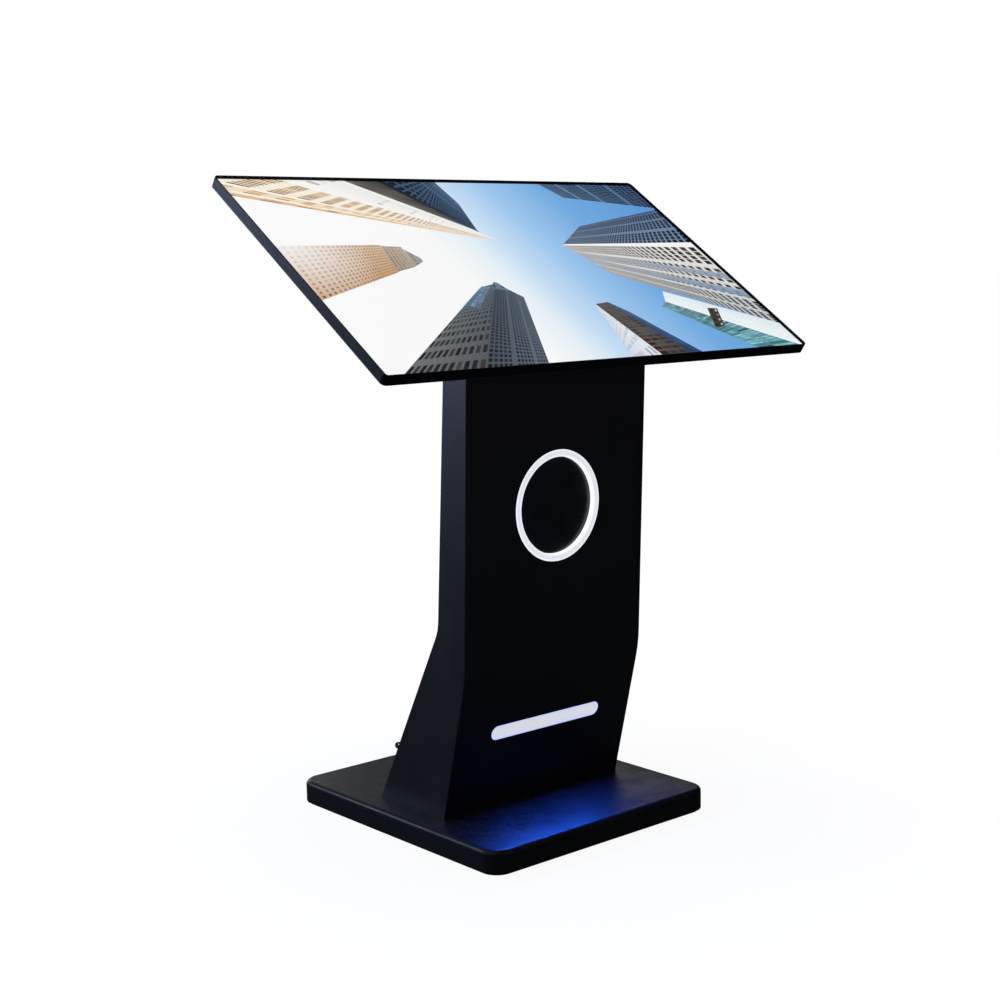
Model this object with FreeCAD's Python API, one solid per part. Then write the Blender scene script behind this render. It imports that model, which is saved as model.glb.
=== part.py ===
import FreeCAD, Part
import math
import os
from FreeCAD import Placement, Rotation, Vector

# Floor-standing touchscreen kiosk: a wide tilted display on a bent sheet-steel column and a flat weighted base.
# Millimetres. +X is to the right for someone who faces the screen, +Y is away from that person, +Z is up.
# The origin is on the floor, in the middle of the base.

# ---------------------------------------------------------------- driving dimensions
SHEET = 2.0                # sheet steel of the column and the door
GAP = 0.8                  # seam between neighbouring panels
FIT = 0.3                  # clearance of pieces that are fitted together
HOLE_FIT = 0.5             # radial room round a screw or a bolt

BASE_W, BASE_D, BASE_H = 511.0, 554.0, 43.0
BASE_CORNER = 36.0
BASE_EDGE = 8.0            # radius along the top edge
BASE_FOOT_EDGE = 2.0       # radius along the bottom edge
BASE_SHEET = 2.5
BASE_LIP = 18.0            # inward lip at the bottom of the base shell
PAD_H = 3.0                # anti-slip sheet under the base
PAD_INSET = 6.0
BOTTOM_PLATE = 3.0
BALLAST_H = 16.0
BEAM_W, BEAM_WALL = 30.0, 3.0
BEAM_X = 180.0
BEAM_INSET_Y = 30.0
ANCHOR_X, ANCHOR_Y, ANCHOR_R = 140.0, 50.0, 6.0

COLUMN_W = 412.0
FRONT_FOOT_Y = -89.0
FRONT_ELBOW = (-151.0, 295.0)   # (y, z) where the front face bends
FRONT_LEAN = 2.1                # degrees that the front leans forward above the bend
FRONT_BEND_R = 250.0
REAR_FOOT_Y = 91.0
REAR_ELBOW = (-80.0, 371.0)     # (y, z) where the rear face bends
REAR_LEAN = 3.6
REAR_BEND_R = 75.0
FLANGE = 10.0                   # return of a side panel onto the front and the rear face
FOLD_FRONT_R = 2.5
FOLD_REAR_R = 3.0
LIP = 8.0                       # backing lip past the seam
FOOT_PLATE = 6.0
TOP_PLATE = 6.0

ACTIVE_W, ACTIVE_H = 941.0, 529.3    # lit area of a 43 inch 16:9 panel
TILT = 34.2                          # degrees above the horizontal
PICTURE_LOW_Y, PICTURE_LOW_Z = -308.0, 830.0    # lower edge of the lit area, on the glass
BORDER = 3.2                         # black border between the lit area and the glass edge
RIM = 2.0                            # wall of the display frame
RIM_GAP = 0.3
HEAD_CORNER = 9.0                    # outer corner of the display frame
RIM_CORNER = 4.0                     # inner corner of the display frame
GLASS_T = 3.0
FILM_T = 0.3
GASKET_T = 1.2
GASKET_EDGE = 1.0                    # room between the lit area and the gasket
CELL_T = 1.5
CELL_EDGE = 2.0                      # unlit margin of the panel and its backlight
BACKLIGHT_T = 11.8
SHELL_T = 1.5                        # sheet of the display's rear shell
HEAD_DEPTH = 52.0                    # glass face to the back of the rear shell
BOX_INSET_X, BOX_INSET_Y = 68.0, 62.0
BOX_CORNER = 15.0

RING_Z = 570.0
RING_R_OUT, RING_R_IN = 96.5, 84.5
RING_RECESS = 8.0                    # how far the disc lies behind the ring's face
RING_SEAT = 8.0                      # flange of the ring behind the panel
BAR_Z = 184.0
BAR_L, BAR_H = 253.0, 26.0

DOOR_LOW, DOOR_HIGH = 28.0, 322.0    # along the rear slope, from the base
DOOR_RETURN = 10.0
HINGE_R, HINGE_PIN_R, HINGE_LEN, HINGE_LEAF = 3.5, 1.5, 50.0, 1.5
HINGE_RUN = 0.05                     # radial clearance of the pin in the door's knuckle
HINGE_PLACES = (80.0, 270.0)         # along the rear slope
LOCK_R = 8.0
LOCK_HEIGHT = 92.0                   # along the rear slope
LOCK_DEPTH = 10.0                    # barrel behind the door's outer face
PLUG_R = 5.5
NUT_FLATS, NUT_T = 2.5 * LOCK_R, 3.5
CAM_REACH, CAM_HALF, CAM_T = 20.0, 7.0, 2.0
KEY_BOW_R, KEY_T = 10.0, 2.2

FAN_SIZE, FAN_DEPTH, FAN_Y = 80.0, 15.0, 105.0
RAIL_X, RAIL_W, RAIL_WALL, RAIL_L = 150.0, 40.0, 2.5, 390.0
BUTTON_X, BUTTON_R, BUTTON_TRAVEL = 260.0, 6.0, 1.5
COVER_W, COVER_H, COVER_Y = 300.0, 176.0, 100.0
SPEAKER_X, SPEAKER_Y, SPEAKER_W, SPEAKER_H, SPEAKER_D = 330.0, -150.0, 120.0, 45.0, 24.0
INLET_X, SWITCH_X = -120.0, -80.0
ROCKER_PIVOT_R = 1.0

# ---------------------------------------------------------------- values worked out from them
X_AXIS, Y_AXIS, Z_AXIS = Vector(1, 0, 0), Vector(0, 1, 0), Vector(0, 0, 1)
SIN, COS = math.sin(math.radians(TILT)), math.cos(math.radians(TILT))
HEAD_CENTRE = Vector(0, PICTURE_LOW_Y + ACTIVE_H / 2 * COS, PICTURE_LOW_Z + ACTIVE_H / 2 * SIN)
GLASS_W, GLASS_H = ACTIVE_W + 2 * BORDER, ACTIVE_H + 2 * BORDER
HEAD_W, HEAD_H = GLASS_W + 2 * (RIM + RIM_GAP), GLASS_H + 2 * (RIM + RIM_GAP)
GASKET_BACK = -GLASS_T - GASKET_T
CELL_BACK = GASKET_BACK - CELL_T
BACKLIGHT_BACK = CELL_BACK - BACKLIGHT_T
FLANGE_BACK = BACKLIGHT_BACK - SHELL_T
BOX_W, BOX_H = HEAD_W - 2 * BOX_INSET_X, HEAD_H - 2 * BOX_INSET_Y
FRONT_SLOPE = math.degrees(math.atan2(FRONT_FOOT_Y - FRONT_ELBOW[0], FRONT_ELBOW[1] - BASE_H))
REAR_SLOPE = math.degrees(math.atan2(REAR_FOOT_Y - REAR_ELBOW[0], REAR_ELBOW[1] - BASE_H))
FRONT_LOW = Placement(Vector(0, FRONT_FOOT_Y, BASE_H), Rotation(X_AXIS, 90 + FRONT_SLOPE))
FRONT_HIGH = Placement(Vector(0, *FRONT_ELBOW), Rotation(X_AXIS, 90 + FRONT_LEAN))
REAR_LOW = Placement(Vector(0, REAR_FOOT_Y, BASE_H), Rotation(X_AXIS, REAR_SLOPE - 90) * Rotation(Z_AXIS, 180))
HEAD = Placement(HEAD_CENTRE, Rotation(X_AXIS, TILT))
BEAM_TOP = BASE_H - BASE_SHEET
PANEL_HALF = COLUMN_W / 2 - FLANGE - GAP     # half width of the panels between the side panels
LIP_IN = SHEET + FIT                         # depth of a backing lip behind the outer face
LIP_EDGE = COLUMN_W / 2 - FLANGE - LIP       # x of a backing lip's free edge


# ---------------------------------------------------------------- helpers
def box(x, y, z):
    return Part.makeBox(x[1] - x[0], y[1] - y[0], z[1] - z[0], Vector(x[0], y[0], z[0]))


def rod(radius, start, direction, length):
    return Part.makeCylinder(radius, length, Vector(*start), direction)


def tube(outer, inner, start, direction, length):
    return rod(outer, start, direction, length).cut(rod(inner, start, direction, length))


def rounded_plate(width, height, radius, z_low, z_high, centre=(0.0, 0.0)):
    """A plate with rounded corners, standing on z_low."""
    half_w, half_h = width / 2, height / 2
    edges = []
    corners = ((1, 1, 0), (-1, 1, 90), (-1, -1, 180), (1, -1, 270))
    arcs = []
    for sx, sy, start in corners:
        middle = Vector(centre[0] + sx * (half_w - radius), centre[1] + sy * (half_h - radius), z_low)
        points = []
        for angle in (start, start + 45, start + 90):
            turn = math.radians(angle)
            points.append(middle + Vector(radius * math.cos(turn), radius * math.sin(turn), 0))
        arcs.append(points)
    for index, points in enumerate(arcs):
        edges.append(Part.Arc(*points).toShape())
        following = arcs[(index + 1) % len(arcs)][0]
        if points[2].distanceToPoint(following) > 1e-6:
            edges.append(Part.LineSegment(points[2], following).toShape())
    face = Part.Face(Part.Wire(edges))
    return face.extrude(Vector(0, 0, z_high - z_low))


def polygon_prism(points, direction):
    """A prism over a closed polygon of vectors."""
    return Part.Face(Part.makePolygon(list(points) + [points[0]])).extrude(direction)


def hexagon(across_flats, z_low, height):
    radius = across_flats / math.sqrt(3)
    turns = [math.radians(60 * k) for k in range(6)]
    points = [Vector(radius * math.cos(t), radius * math.sin(t), z_low) for t in turns]
    return polygon_prism(points, Vector(0, 0, height))


def moved(shape, place):
    copy = shape.copy()
    copy.Placement = place * copy.Placement
    return copy


def shifted(shape, x=0.0, y=0.0, z=0.0):
    return moved(shape, Placement(Vector(x, y, z), Rotation()))


def joined(shapes):
    first, *others = shapes
    return first.fuse(others).removeSplitter() if others else first


def group(shapes):
    return Part.makeCompound(shapes)


def edges_where(shape, test):
    return [edge for edge in shape.Edges if test(edge)]


def button_screw(shank_r, shank_l, head_r, head_h):
    """A button-head screw along -Z, with its head above z = 0 and a hexagon socket."""
    head = rod(head_r, (0, 0, 0), Z_AXIS, head_h)
    top = edges_where(head, lambda e: e.CenterOfMass.z > head_h - 1e-3)
    head = head.makeFillet(head_h * 0.45, top)
    socket = hexagon(head_r, head_h * 0.45, head_h)
    shank = rod(shank_r, (0, 0, -shank_l), Z_AXIS, shank_l)
    return head.cut(socket).fuse(shank)


def hex_bolt(shank_r, shank_l, across_flats, head_h):
    """A hexagon bolt along -Z, with its head above z = 0."""
    return hexagon(across_flats, 0, head_h).fuse(rod(shank_r, (0, 0, -shank_l), Z_AXIS, shank_l))


def slot_prism(length, width, z_low, z_high, centre):
    return rounded_plate(length, width, width / 2 - 1e-3, z_low, z_high, centre)


# ---------------------------------------------------------------- the column's bent faces
def line_at(point, angle, inset):
    """A point and an upward direction of a face that leans forward by angle, moved by inset along +Y."""
    lean = math.radians(angle)
    along = (-math.sin(lean), math.cos(lean))
    return (point[0] + inset * math.cos(lean), point[1] + inset * math.sin(lean)), along


def crossing(first, second):
    (p, d), (q, e) = first, second
    share = ((q[0] - p[0]) * e[1] - (q[1] - p[1]) * e[0]) / (d[0] * e[1] - d[1] * e[0])
    return (p[0] + share * d[0], p[1] + share * d[1])


def bent_edges(elbow, low_angle, high_angle, radius, inset):
    """Edges of a face's side view, from below the base to above the head, moved by inset along +Y."""
    low = line_at(elbow, low_angle, inset)
    high = line_at(elbow, high_angle, inset)
    corner = crossing(low, high)
    half_turn = math.radians(abs(low_angle - high_angle)) / 2
    bend = radius - inset
    cut = bend * math.tan(half_turn)
    start = (corner[0] - low[1][0] * cut, corner[1] - low[1][1] * cut)
    end = (corner[0] + high[1][0] * cut, corner[1] + high[1][1] * cut)
    chord = ((start[0] + end[0]) / 2, (start[1] + end[1]) / 2)
    reach = math.hypot(corner[0] - chord[0], corner[1] - chord[1])
    sagitta = bend * (1 - math.cos(half_turn))
    middle = (chord[0] + (corner[0] - chord[0]) * sagitta / reach,
              chord[1] + (corner[1] - chord[1]) * sagitta / reach)
    reach_low = (corner[1] + 60) / low[1][1]
    foot = (corner[0] - low[1][0] * reach_low, corner[1] - low[1][1] * reach_low)
    rise = (HEAD_CENTRE.z + 200 - corner[1]) / high[1][1]
    top = (corner[0] + high[1][0] * rise, corner[1] + high[1][1] * rise)
    points = [Vector(0, *p) for p in (foot, start, middle, end, top)]
    return [
        Part.LineSegment(points[0], points[1]).toShape(),
        Part.Arc(points[1], points[2], points[3]).toShape(),
        Part.LineSegment(points[3], points[4]).toShape(),
    ], points[0], points[4]


def front_edges(inset):
    return bent_edges(FRONT_ELBOW, FRONT_SLOPE, FRONT_LEAN, FRONT_BEND_R, inset)


def rear_edges(inset):
    return bent_edges(REAR_ELBOW, REAR_SLOPE, REAR_LEAN, REAR_BEND_R, -inset)


def between(first, second, x_low, x_high):
    """The solid between two bent faces, from x_low to x_high."""
    edges_a, foot_a, top_a = first
    edges_b, foot_b, top_b = second
    closing = [Part.LineSegment(foot_a, foot_b).toShape(), Part.LineSegment(top_a, top_b).toShape()]
    wire = Part.Wire(Part.__sortEdges__(edges_a + edges_b + closing))
    return shifted(Part.Face(wire).extrude(Vector(x_high - x_low, 0, 0)), x=x_low)


def column_core(inset, front_fold, rear_fold):
    """The column's outer shape, moved in by inset, with rounded folds along its long edges."""
    half = COLUMN_W / 2 - inset
    core = between(front_edges(inset), rear_edges(inset), -half, half)

    def long_edge(edge, front):
        if abs(abs(edge.CenterOfMass.x) - half) > 1e-3:
            return False
        ends = [v.Point for v in edge.Vertexes]
        if abs(ends[0].z - ends[1].z) < 5 or abs(ends[0].x - ends[1].x) > 1:
            return False
        middle = (ends[0].z + ends[1].z) / 2
        cut_y = core.common(box((-1, 1), (-900, 900), (middle - 0.5, middle + 0.5))).BoundBox
        return (edge.CenterOfMass.y < (cut_y.YMin + cut_y.YMax) / 2) == front

    if front_fold > 0.2:
        core = core.makeFillet(front_fold, edges_where(core, lambda e: long_edge(e, True)))
    if rear_fold > 0.2:
        core = core.makeFillet(rear_fold, edges_where(core, lambda e: long_edge(e, False)))
    return core


def trimmed(shape, head_gap=0.5):
    """Cut off a column piece at the base and just under the display."""
    above = moved(box((-700, 700), (-700, 700), (-HEAD_DEPTH - head_gap, 700)), HEAD)
    below = box((-700, 700), (-700, 700), (-300, BASE_H))
    return shape.cut(above).cut(below)


def under_head(y_z, lean, depth):
    """Local y, in the display's frame, where a leaning line meets the plane at that depth."""
    point, along = line_at(y_z, lean, 0)
    plane_point = HEAD.multVec(Vector(0, 0, -depth))
    plane = ((plane_point.y, plane_point.z), (COS, SIN))
    meeting = crossing((point, along), plane)
    return HEAD.inverse().multVec(Vector(0, *meeting)).y


# ---------------------------------------------------------------- base
def base_shell():
    outer = rounded_plate(BASE_W, BASE_D, BASE_CORNER, PAD_H, BASE_H)
    outer = outer.makeFillet(BASE_EDGE, edges_where(outer, lambda e: e.CenterOfMass.z > BASE_H - 1e-3))
    outer = outer.makeFillet(BASE_FOOT_EDGE, edges_where(outer, lambda e: e.CenterOfMass.z < PAD_H + 1e-3))
    inner = rounded_plate(BASE_W - 2 * BASE_SHEET, BASE_D - 2 * BASE_SHEET, BASE_CORNER - BASE_SHEET,
                          PAD_H - 1, BASE_H - BASE_SHEET)
    rim = edges_where(inner, lambda e: e.CenterOfMass.z > BASE_H - BASE_SHEET - 1e-3)
    inner = inner.makeFillet(BASE_EDGE - BASE_SHEET, rim)
    lip_low = PAD_H + BOTTOM_PLATE
    lip = rounded_plate(BASE_W - BASE_SHEET, BASE_D - BASE_SHEET, BASE_CORNER, lip_low, lip_low + BASE_SHEET)
    lip = lip.cut(rounded_plate(BASE_W - 2 * BASE_LIP, BASE_D - 2 * BASE_LIP, BASE_CORNER / 2,
                                lip_low - 1, lip_low + BASE_SHEET + 1))
    shell = outer.cut(inner).fuse(lip).common(outer)
    hatch = foot_opening(BASE_H - 2 * BASE_SHEET, BASE_H + 1)
    holes = [rod(4 + HOLE_FIT, (x, y, BASE_H - 10), Z_AXIS, 20) for x, y in bolt_places()]
    holes += [rod(2.5 + FIT, (x, y, 0), Z_AXIS, 12) for x, y in base_screw_places()]
    holes.append(box((INLET_X - 14.5, INLET_X + 14.5), (BASE_D / 2 - 10, BASE_D / 2 + 1), (12.5, 33.5)))
    holes.append(box((SWITCH_X - 9.8, SWITCH_X + 9.8), (BASE_D / 2 - 10, BASE_D / 2 + 1), (16.4, 29.6)))
    return shell.cut([hatch] + holes)


def foot_opening(z_low, z_high):
    """The way from the column into the base, for the cables and the floor anchors."""
    depth = REAR_FOOT_Y - FRONT_FOOT_Y - 2 * 22
    middle = (REAR_FOOT_Y + FRONT_FOOT_Y) / 2
    return rounded_plate(2 * (BEAM_X - BEAM_W / 2) - 10, depth, 10, z_low, z_high, (0, middle))


def bolt_places():
    return [(sx * BEAM_X, y) for sx in (-1, 1) for y in (-60.0, 60.0)]


def base_screw_places():
    x, y = BASE_W / 2 - BASE_LIP + 7, BASE_D / 2 - BASE_LIP + 7
    return [(sx * x, y_share * y) for sx in (-1, 1) for y_share in (-0.8, 0.0, 0.8)]


def base_bottom_plate():
    trim = BASE_SHEET + FIT
    plate = rounded_plate(BASE_W - 2 * trim, BASE_D - 2 * trim, BASE_CORNER - trim, PAD_H, PAD_H + BOTTOM_PLATE)
    cuts = anchor_holes(0, 20)
    for x, y in base_screw_places():
        cuts.append(rod(2.5 + FIT, (x, y, 0), Z_AXIS, 12))
        cuts.append(Part.makeCone(5 + FIT, 2.5 + FIT, 2.5, Vector(x, y, PAD_H), Z_AXIS))
    return plate.cut(cuts)


def anchor_holes(z_low, z_high):
    return [rod(ANCHOR_R, (sx * ANCHOR_X, sy * ANCHOR_Y, z_low), Z_AXIS, z_high - z_low)
            for sx in (-1, 1) for sy in (-1, 1)]


def base_pad():
    pad = rounded_plate(BASE_W - 2 * PAD_INSET, BASE_D - 2 * PAD_INSET, BASE_CORNER - PAD_INSET, 0, PAD_H)
    return pad.cut(anchor_holes(-1, PAD_H + 1))


def base_screws():
    screws = []
    for x, y in base_screw_places():
        head = Part.makeCone(5, 2.5, 2.5, Vector(x, y, PAD_H), Z_AXIS)
        shank = rod(2.5, (x, y, PAD_H + 2.5), Z_AXIS, 8)
        screws.append(head.fuse(shank).cut(hexagon_at(x, y, PAD_H)))
    return group(screws)


def hexagon_at(x, y, z):
    return shifted(hexagon(3.0, -1, 2.4), x, y, z)


def base_ballast():
    low = PAD_H + BOTTOM_PLATE
    half_x = BEAM_X - BEAM_W / 2 - 4
    reach = BASE_D / 2 - BASE_SHEET - BASE_LIP - 3
    front = box((-half_x, half_x), (-reach, FRONT_FOOT_Y - 14), (low, low + BALLAST_H))
    rear = box((-half_x, half_x), (REAR_FOOT_Y + 14, reach - 14), (low, low + BALLAST_H))
    return group([front, rear])


def base_beam(side):
    low = PAD_H + BOTTOM_PLATE
    reach = BASE_D / 2 - BEAM_INSET_Y
    x = side * BEAM_X
    outer = box((x - BEAM_W / 2, x + BEAM_W / 2), (-reach, reach), (low, BEAM_TOP))
    inner = box((x - BEAM_W / 2 + BEAM_WALL, x + BEAM_W / 2 - BEAM_WALL), (-reach - 1, reach + 1),
                (low + BEAM_WALL, BEAM_TOP - BEAM_WALL))
    holes = [rod(4 + HOLE_FIT, (bx, by, BEAM_TOP - 2 * BEAM_WALL), Z_AXIS, 20)
             for bx, by in bolt_places() if bx * side > 0]
    return outer.cut([inner] + holes)


def mains_inlet():
    """A three-pole appliance inlet with its face plate on the rear edge of the base."""
    face = BASE_D / 2
    plate = box((INLET_X - 17, INLET_X + 17), (face, face + 2), (10.5, 35.5))
    body = box((INLET_X - 14, INLET_X + 14), (face - 22, face), (13, 33))
    corners = edges_where(plate, lambda e: abs(e.Vertexes[0].Y - e.Vertexes[-1].Y) > 1)
    plate = plate.makeFillet(2.5, corners)
    cavity = box((INLET_X - 12.3, INLET_X + 12.3), (face - 16.5, face + 5), (14.6, 31.4))
    return plate.fuse(body).removeSplitter().cut(cavity)


def inlet_pins():
    face = BASE_D / 2
    pins = []
    for x, z in ((-7.0, 21.0), (7.0, 21.0), (0.0, 25.0)):
        pins.append(box((INLET_X + x - 1, INLET_X + x + 1), (face - 16.5, face - 3), (z - 2, z + 2)))
    return group(pins)


def switch_frame():
    face = BASE_D / 2
    plate = box((SWITCH_X - 11.5, SWITCH_X + 11.5), (face, face + 2), (15, 31))
    body = box((SWITCH_X - 9.5, SWITCH_X + 9.5), (face - 18, face), (16.7, 29.3))
    well = box((SWITCH_X - 8.3, SWITCH_X + 8.3), (face - 9, face + 5), (17.9, 28.1))
    pivot_bore = rod(ROCKER_PIVOT_R + HINGE_RUN, (SWITCH_X, face - 2, 17.0), Z_AXIS, 12.0)
    return plate.fuse(body).removeSplitter().cut([well, pivot_bore])


def switch_rocker():
    """The rocker, pressed in at its right half, turning about an axis along Z."""
    face = BASE_D / 2
    axis_y = face - 2
    half, press = 7.0, math.radians(8)
    low, high = 18.3, 27.7
    dip = half * math.tan(press)
    points = [
        Vector(SWITCH_X - half, axis_y + 3.6 + dip, low),
        Vector(SWITCH_X, axis_y + 3.2, low),
        Vector(SWITCH_X + half, axis_y + 3.6 - dip * 1.4, low),
        Vector(SWITCH_X + half, axis_y - 1.5 - dip, low),
        Vector(SWITCH_X, axis_y - 3.4, low),
        Vector(SWITCH_X - half, axis_y - 1.5, low),
    ]
    pivot = rod(ROCKER_PIVOT_R, (SWITCH_X, axis_y, 17.2), Z_AXIS, 11.6)
    return joined([polygon_prism(points, Vector(0, 0, high - low)), pivot])


# ---------------------------------------------------------------- column
def column_sides():
    """Left and right side panels: folded onto the front and the rear face, with backing lips behind the seams."""
    outer = column_core(0, FOLD_FRONT_R, FOLD_REAR_R)
    inner = column_core(SHEET, FOLD_FRONT_R - SHEET, FOLD_REAR_R - SHEET)
    shell = trimmed(outer.cut(inner))
    half = COLUMN_W / 2
    panels = []
    for side in (-1, 1):
        near, far = sorted((side * (half - FLANGE), side * (half + 1)))
        panel = shell.common(box((near, far), (-700, 700), (0, 1300)))
        lip_x = sorted((side * LIP_EDGE, side * (half - SHEET)))
        lips = []
        for edges in (front_edges, rear_edges):
            lips.append(trimmed(between(edges(LIP_IN), edges(LIP_IN + SHEET), *lip_x)))
        panel = joined([panel] + lips)
        panels.append(panel.cut(outside_of(outer)))
    left, right = panels
    notch = moved(rod(NUT_FLATS * 0.62, (0, 0, -LIP_IN - SHEET - 1), Z_AXIS, SHEET + 1.2), lock_place())
    return left.cut(notch), right


def outside_of(core):
    room = box((-COLUMN_W, COLUMN_W), (-900, 900), (-100, HEAD_CENTRE.z + 250))
    return room.cut(core)


def lock_x():
    """X of the lock: its body just clears the left backing lip."""
    return -(LIP_EDGE - LOCK_R - 2)


def ring_place(x, y, z):
    """A place on the upper front face, with the ring's middle as its origin."""
    up = (RING_Z - FRONT_ELBOW[1]) / math.cos(math.radians(FRONT_LEAN))
    return FRONT_HIGH * Placement(Vector(x, up + y, z), Rotation())


def bar_place(x, y, z):
    up = (BAR_Z - BASE_H) / math.cos(math.radians(FRONT_SLOPE))
    return FRONT_LOW * Placement(Vector(x, up + y, z), Rotation())


def column_front_panel():
    sheet = trimmed(between(front_edges(0), front_edges(SHEET), -PANEL_HALF, PANEL_HALF))
    ring_hole = moved(rod(RING_R_OUT + FIT, (0, 0, -20), Z_AXIS, 40), ring_place(0, 0, 0))
    bar_hole = moved(slot_prism(BAR_L + 2 * FIT, BAR_H + 2 * FIT, -20, 20, (0, 0)), bar_place(0, 0, 0))
    return sheet.cut([ring_hole, bar_hole])


def rear_slice(shape, low, high):
    """The part of a shape between two distances along the rear slope."""
    window = moved(box((-400, 400), (low, high), (-60, 60)), REAR_LOW)
    return shape.common(window)


def column_rear_panel():
    """The fixed rear panel above the door, with its cooling slots."""
    sheet = trimmed(between(rear_edges(0), rear_edges(SHEET), -PANEL_HALF, PANEL_HALF))
    below = moved(box((-400, 400), (-400, DOOR_HIGH + GAP), (-60, 260)), REAR_LOW)
    sheet = sheet.cut(below)
    slots = []
    for column in (-1, 1):
        for row in range(9):
            place = (column * 75.0, 250.0 + 11.0 * row)
            slots.append(slot_prism(110, 4, -20, 20, place))
    turned = Placement(Vector(0, *REAR_ELBOW), Rotation(X_AXIS, 90 + REAR_LEAN))
    return sheet.cut([moved(slot, turned) for slot in slots])


def column_rear_rail():
    """The narrow fixed strip below the door."""
    sheet = trimmed(between(rear_edges(0), rear_edges(SHEET), -PANEL_HALF, PANEL_HALF))
    return rear_slice(sheet, -60, DOOR_LOW - GAP)


def column_foot_plate():
    inset = LIP_IN + SHEET + FIT
    half = COLUMN_W / 2 - SHEET - FIT
    block = between(front_edges(inset), rear_edges(inset), -half, half)
    plate = block.common(box((-400, 400), (-400, 400), (BASE_H, BASE_H + FOOT_PLATE)))
    holes = [rod(4 + HOLE_FIT, (x, y, BASE_H - 5), Z_AXIS, 20) for x, y in bolt_places()]
    return plate.cut([foot_opening(BASE_H - 5, BASE_H + 20)] + holes)


def column_bolts():
    length = FOOT_PLATE + BASE_SHEET + BEAM_WALL + 8
    return group([shifted(hex_bolt(4, length, 13, 5.3), x, y, BASE_H + FOOT_PLATE) for x, y in bolt_places()])


def beam_nuts():
    top = BEAM_TOP - BEAM_WALL
    nuts = []
    for x, y in bolt_places():
        nut = hexagon(13, -6.5, 6.5).cut(rod(4.05, (0, 0, -8), Z_AXIS, 10))
        nuts.append(shifted(nut, x, y, top))
    return group(nuts)


def top_middle():
    """Middle of the column's top, as a local y in the display's frame."""
    depth = HEAD_DEPTH + 0.5
    return (under_head(FRONT_ELBOW, FRONT_LEAN, depth) + under_head(REAR_ELBOW, REAR_LEAN, depth)) / 2


def head_bolt_places():
    return [(sx * RAIL_X, top_middle() + dy) for sx in (-1, 1) for dy in (-17.0, 17.0)]


def column_top_plate():
    """The sloping plate that carries the display, welded in at the top of the column."""
    inset = LIP_IN + SHEET + FIT
    half = COLUMN_W / 2 - SHEET - FIT
    block = between(front_edges(inset), rear_edges(inset), -half, half)
    slab = moved(box((-400, 400), (-700, 700), (-HEAD_DEPTH - TOP_PLATE, -HEAD_DEPTH)), HEAD)
    holes = [rod(4 + HOLE_FIT, (x, y, -HEAD_DEPTH - 20), Z_AXIS, 40) for x, y in head_bolt_places()]
    holes.append(rod(14, (0, top_middle(), -HEAD_DEPTH - 20), Z_AXIS, 40))
    return block.common(slab).cut([moved(hole, HEAD) for hole in holes])


def head_bolts():
    bolts = []
    shank = TOP_PLATE + SHELL_T + RAIL_WALL + 7
    for x, y in head_bolt_places():
        bolt = moved(hex_bolt(4, shank, 13, 5.3), Placement(Vector(), Rotation(X_AXIS, 180)))
        bolts.append(moved(shifted(bolt, x, y, -HEAD_DEPTH - TOP_PLATE), HEAD))
    return group(bolts)


def rail_nuts():
    inner = -HEAD_DEPTH + SHELL_T + RAIL_WALL
    nuts = []
    for x, y in head_bolt_places():
        nut = hexagon(13, 0, 6.5).cut(rod(4.05, (0, 0, -2), Z_AXIS, 12))
        nuts.append(moved(shifted(nut, x, y, inner), HEAD))
    return group(nuts)


def cable_grommet():
    """A rubber bush in the hole that joins the column and the display."""
    low, high = -HEAD_DEPTH - TOP_PLATE - 2.5, -HEAD_DEPTH + SHELL_T + 2.5
    y = top_middle()
    neck = tube(14, 9, (0, y, low), Z_AXIS, high - low)
    collars = [tube(18, 9, (0, y, low), Z_AXIS, 2.5), tube(18, 9, (0, y, high - 2.5), Z_AXIS, 2.5)]
    return moved(joined([neck] + collars), HEAD)


# ---------------------------------------------------------------- lights in the front panel
def ring_diffuser():
    """An opal ring that is flush with the panel, with a wide seat behind it."""
    seat_back = -RING_RECESS - 6.0
    ring = tube(RING_R_OUT, RING_R_IN, (0, 0, seat_back), Z_AXIS, -seat_back + 0.4)
    rim = edges_where(ring, lambda e: e.CenterOfMass.z > 0.3)
    ring = ring.makeFillet(0.6, rim)
    seat = tube(RING_R_OUT + RING_SEAT, RING_R_IN, (0, 0, -SHEET - 3.2), Z_AXIS, 3.0)
    return moved(joined([ring, seat]), ring_place(0, 0, 0))


def ring_disc():
    disc = rod(RING_R_IN - FIT, (0, 0, -RING_RECESS - 2.5), Z_AXIS, 2.5)
    disc = disc.makeFillet(0.8, edges_where(disc, lambda e: e.CenterOfMass.z > -RING_RECESS - 0.1))
    return moved(disc, ring_place(0, 0, 0))


def ring_housing():
    """The pan behind the ring, which holds the disc and the lamp board."""
    back = -RING_RECESS - 16.0
    radius = RING_R_OUT + FIT
    pan = rod(radius + 1.5, (0, 0, back), Z_AXIS, -SHEET - 3.2 - back)
    hollow = rod(radius, (0, 0, back + 1.5), Z_AXIS, 40)
    collar = tube(RING_R_OUT + RING_SEAT, radius, (0, 0, -SHEET - 4.8), Z_AXIS, 1.6)
    pillar = tube(60, 58, (0, 0, back + 1.0), Z_AXIS, -RING_RECESS - 2.5 - back - 1.0)
    return moved(joined([pan.cut(hollow), collar, pillar]), ring_place(0, 0, 0))


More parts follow.
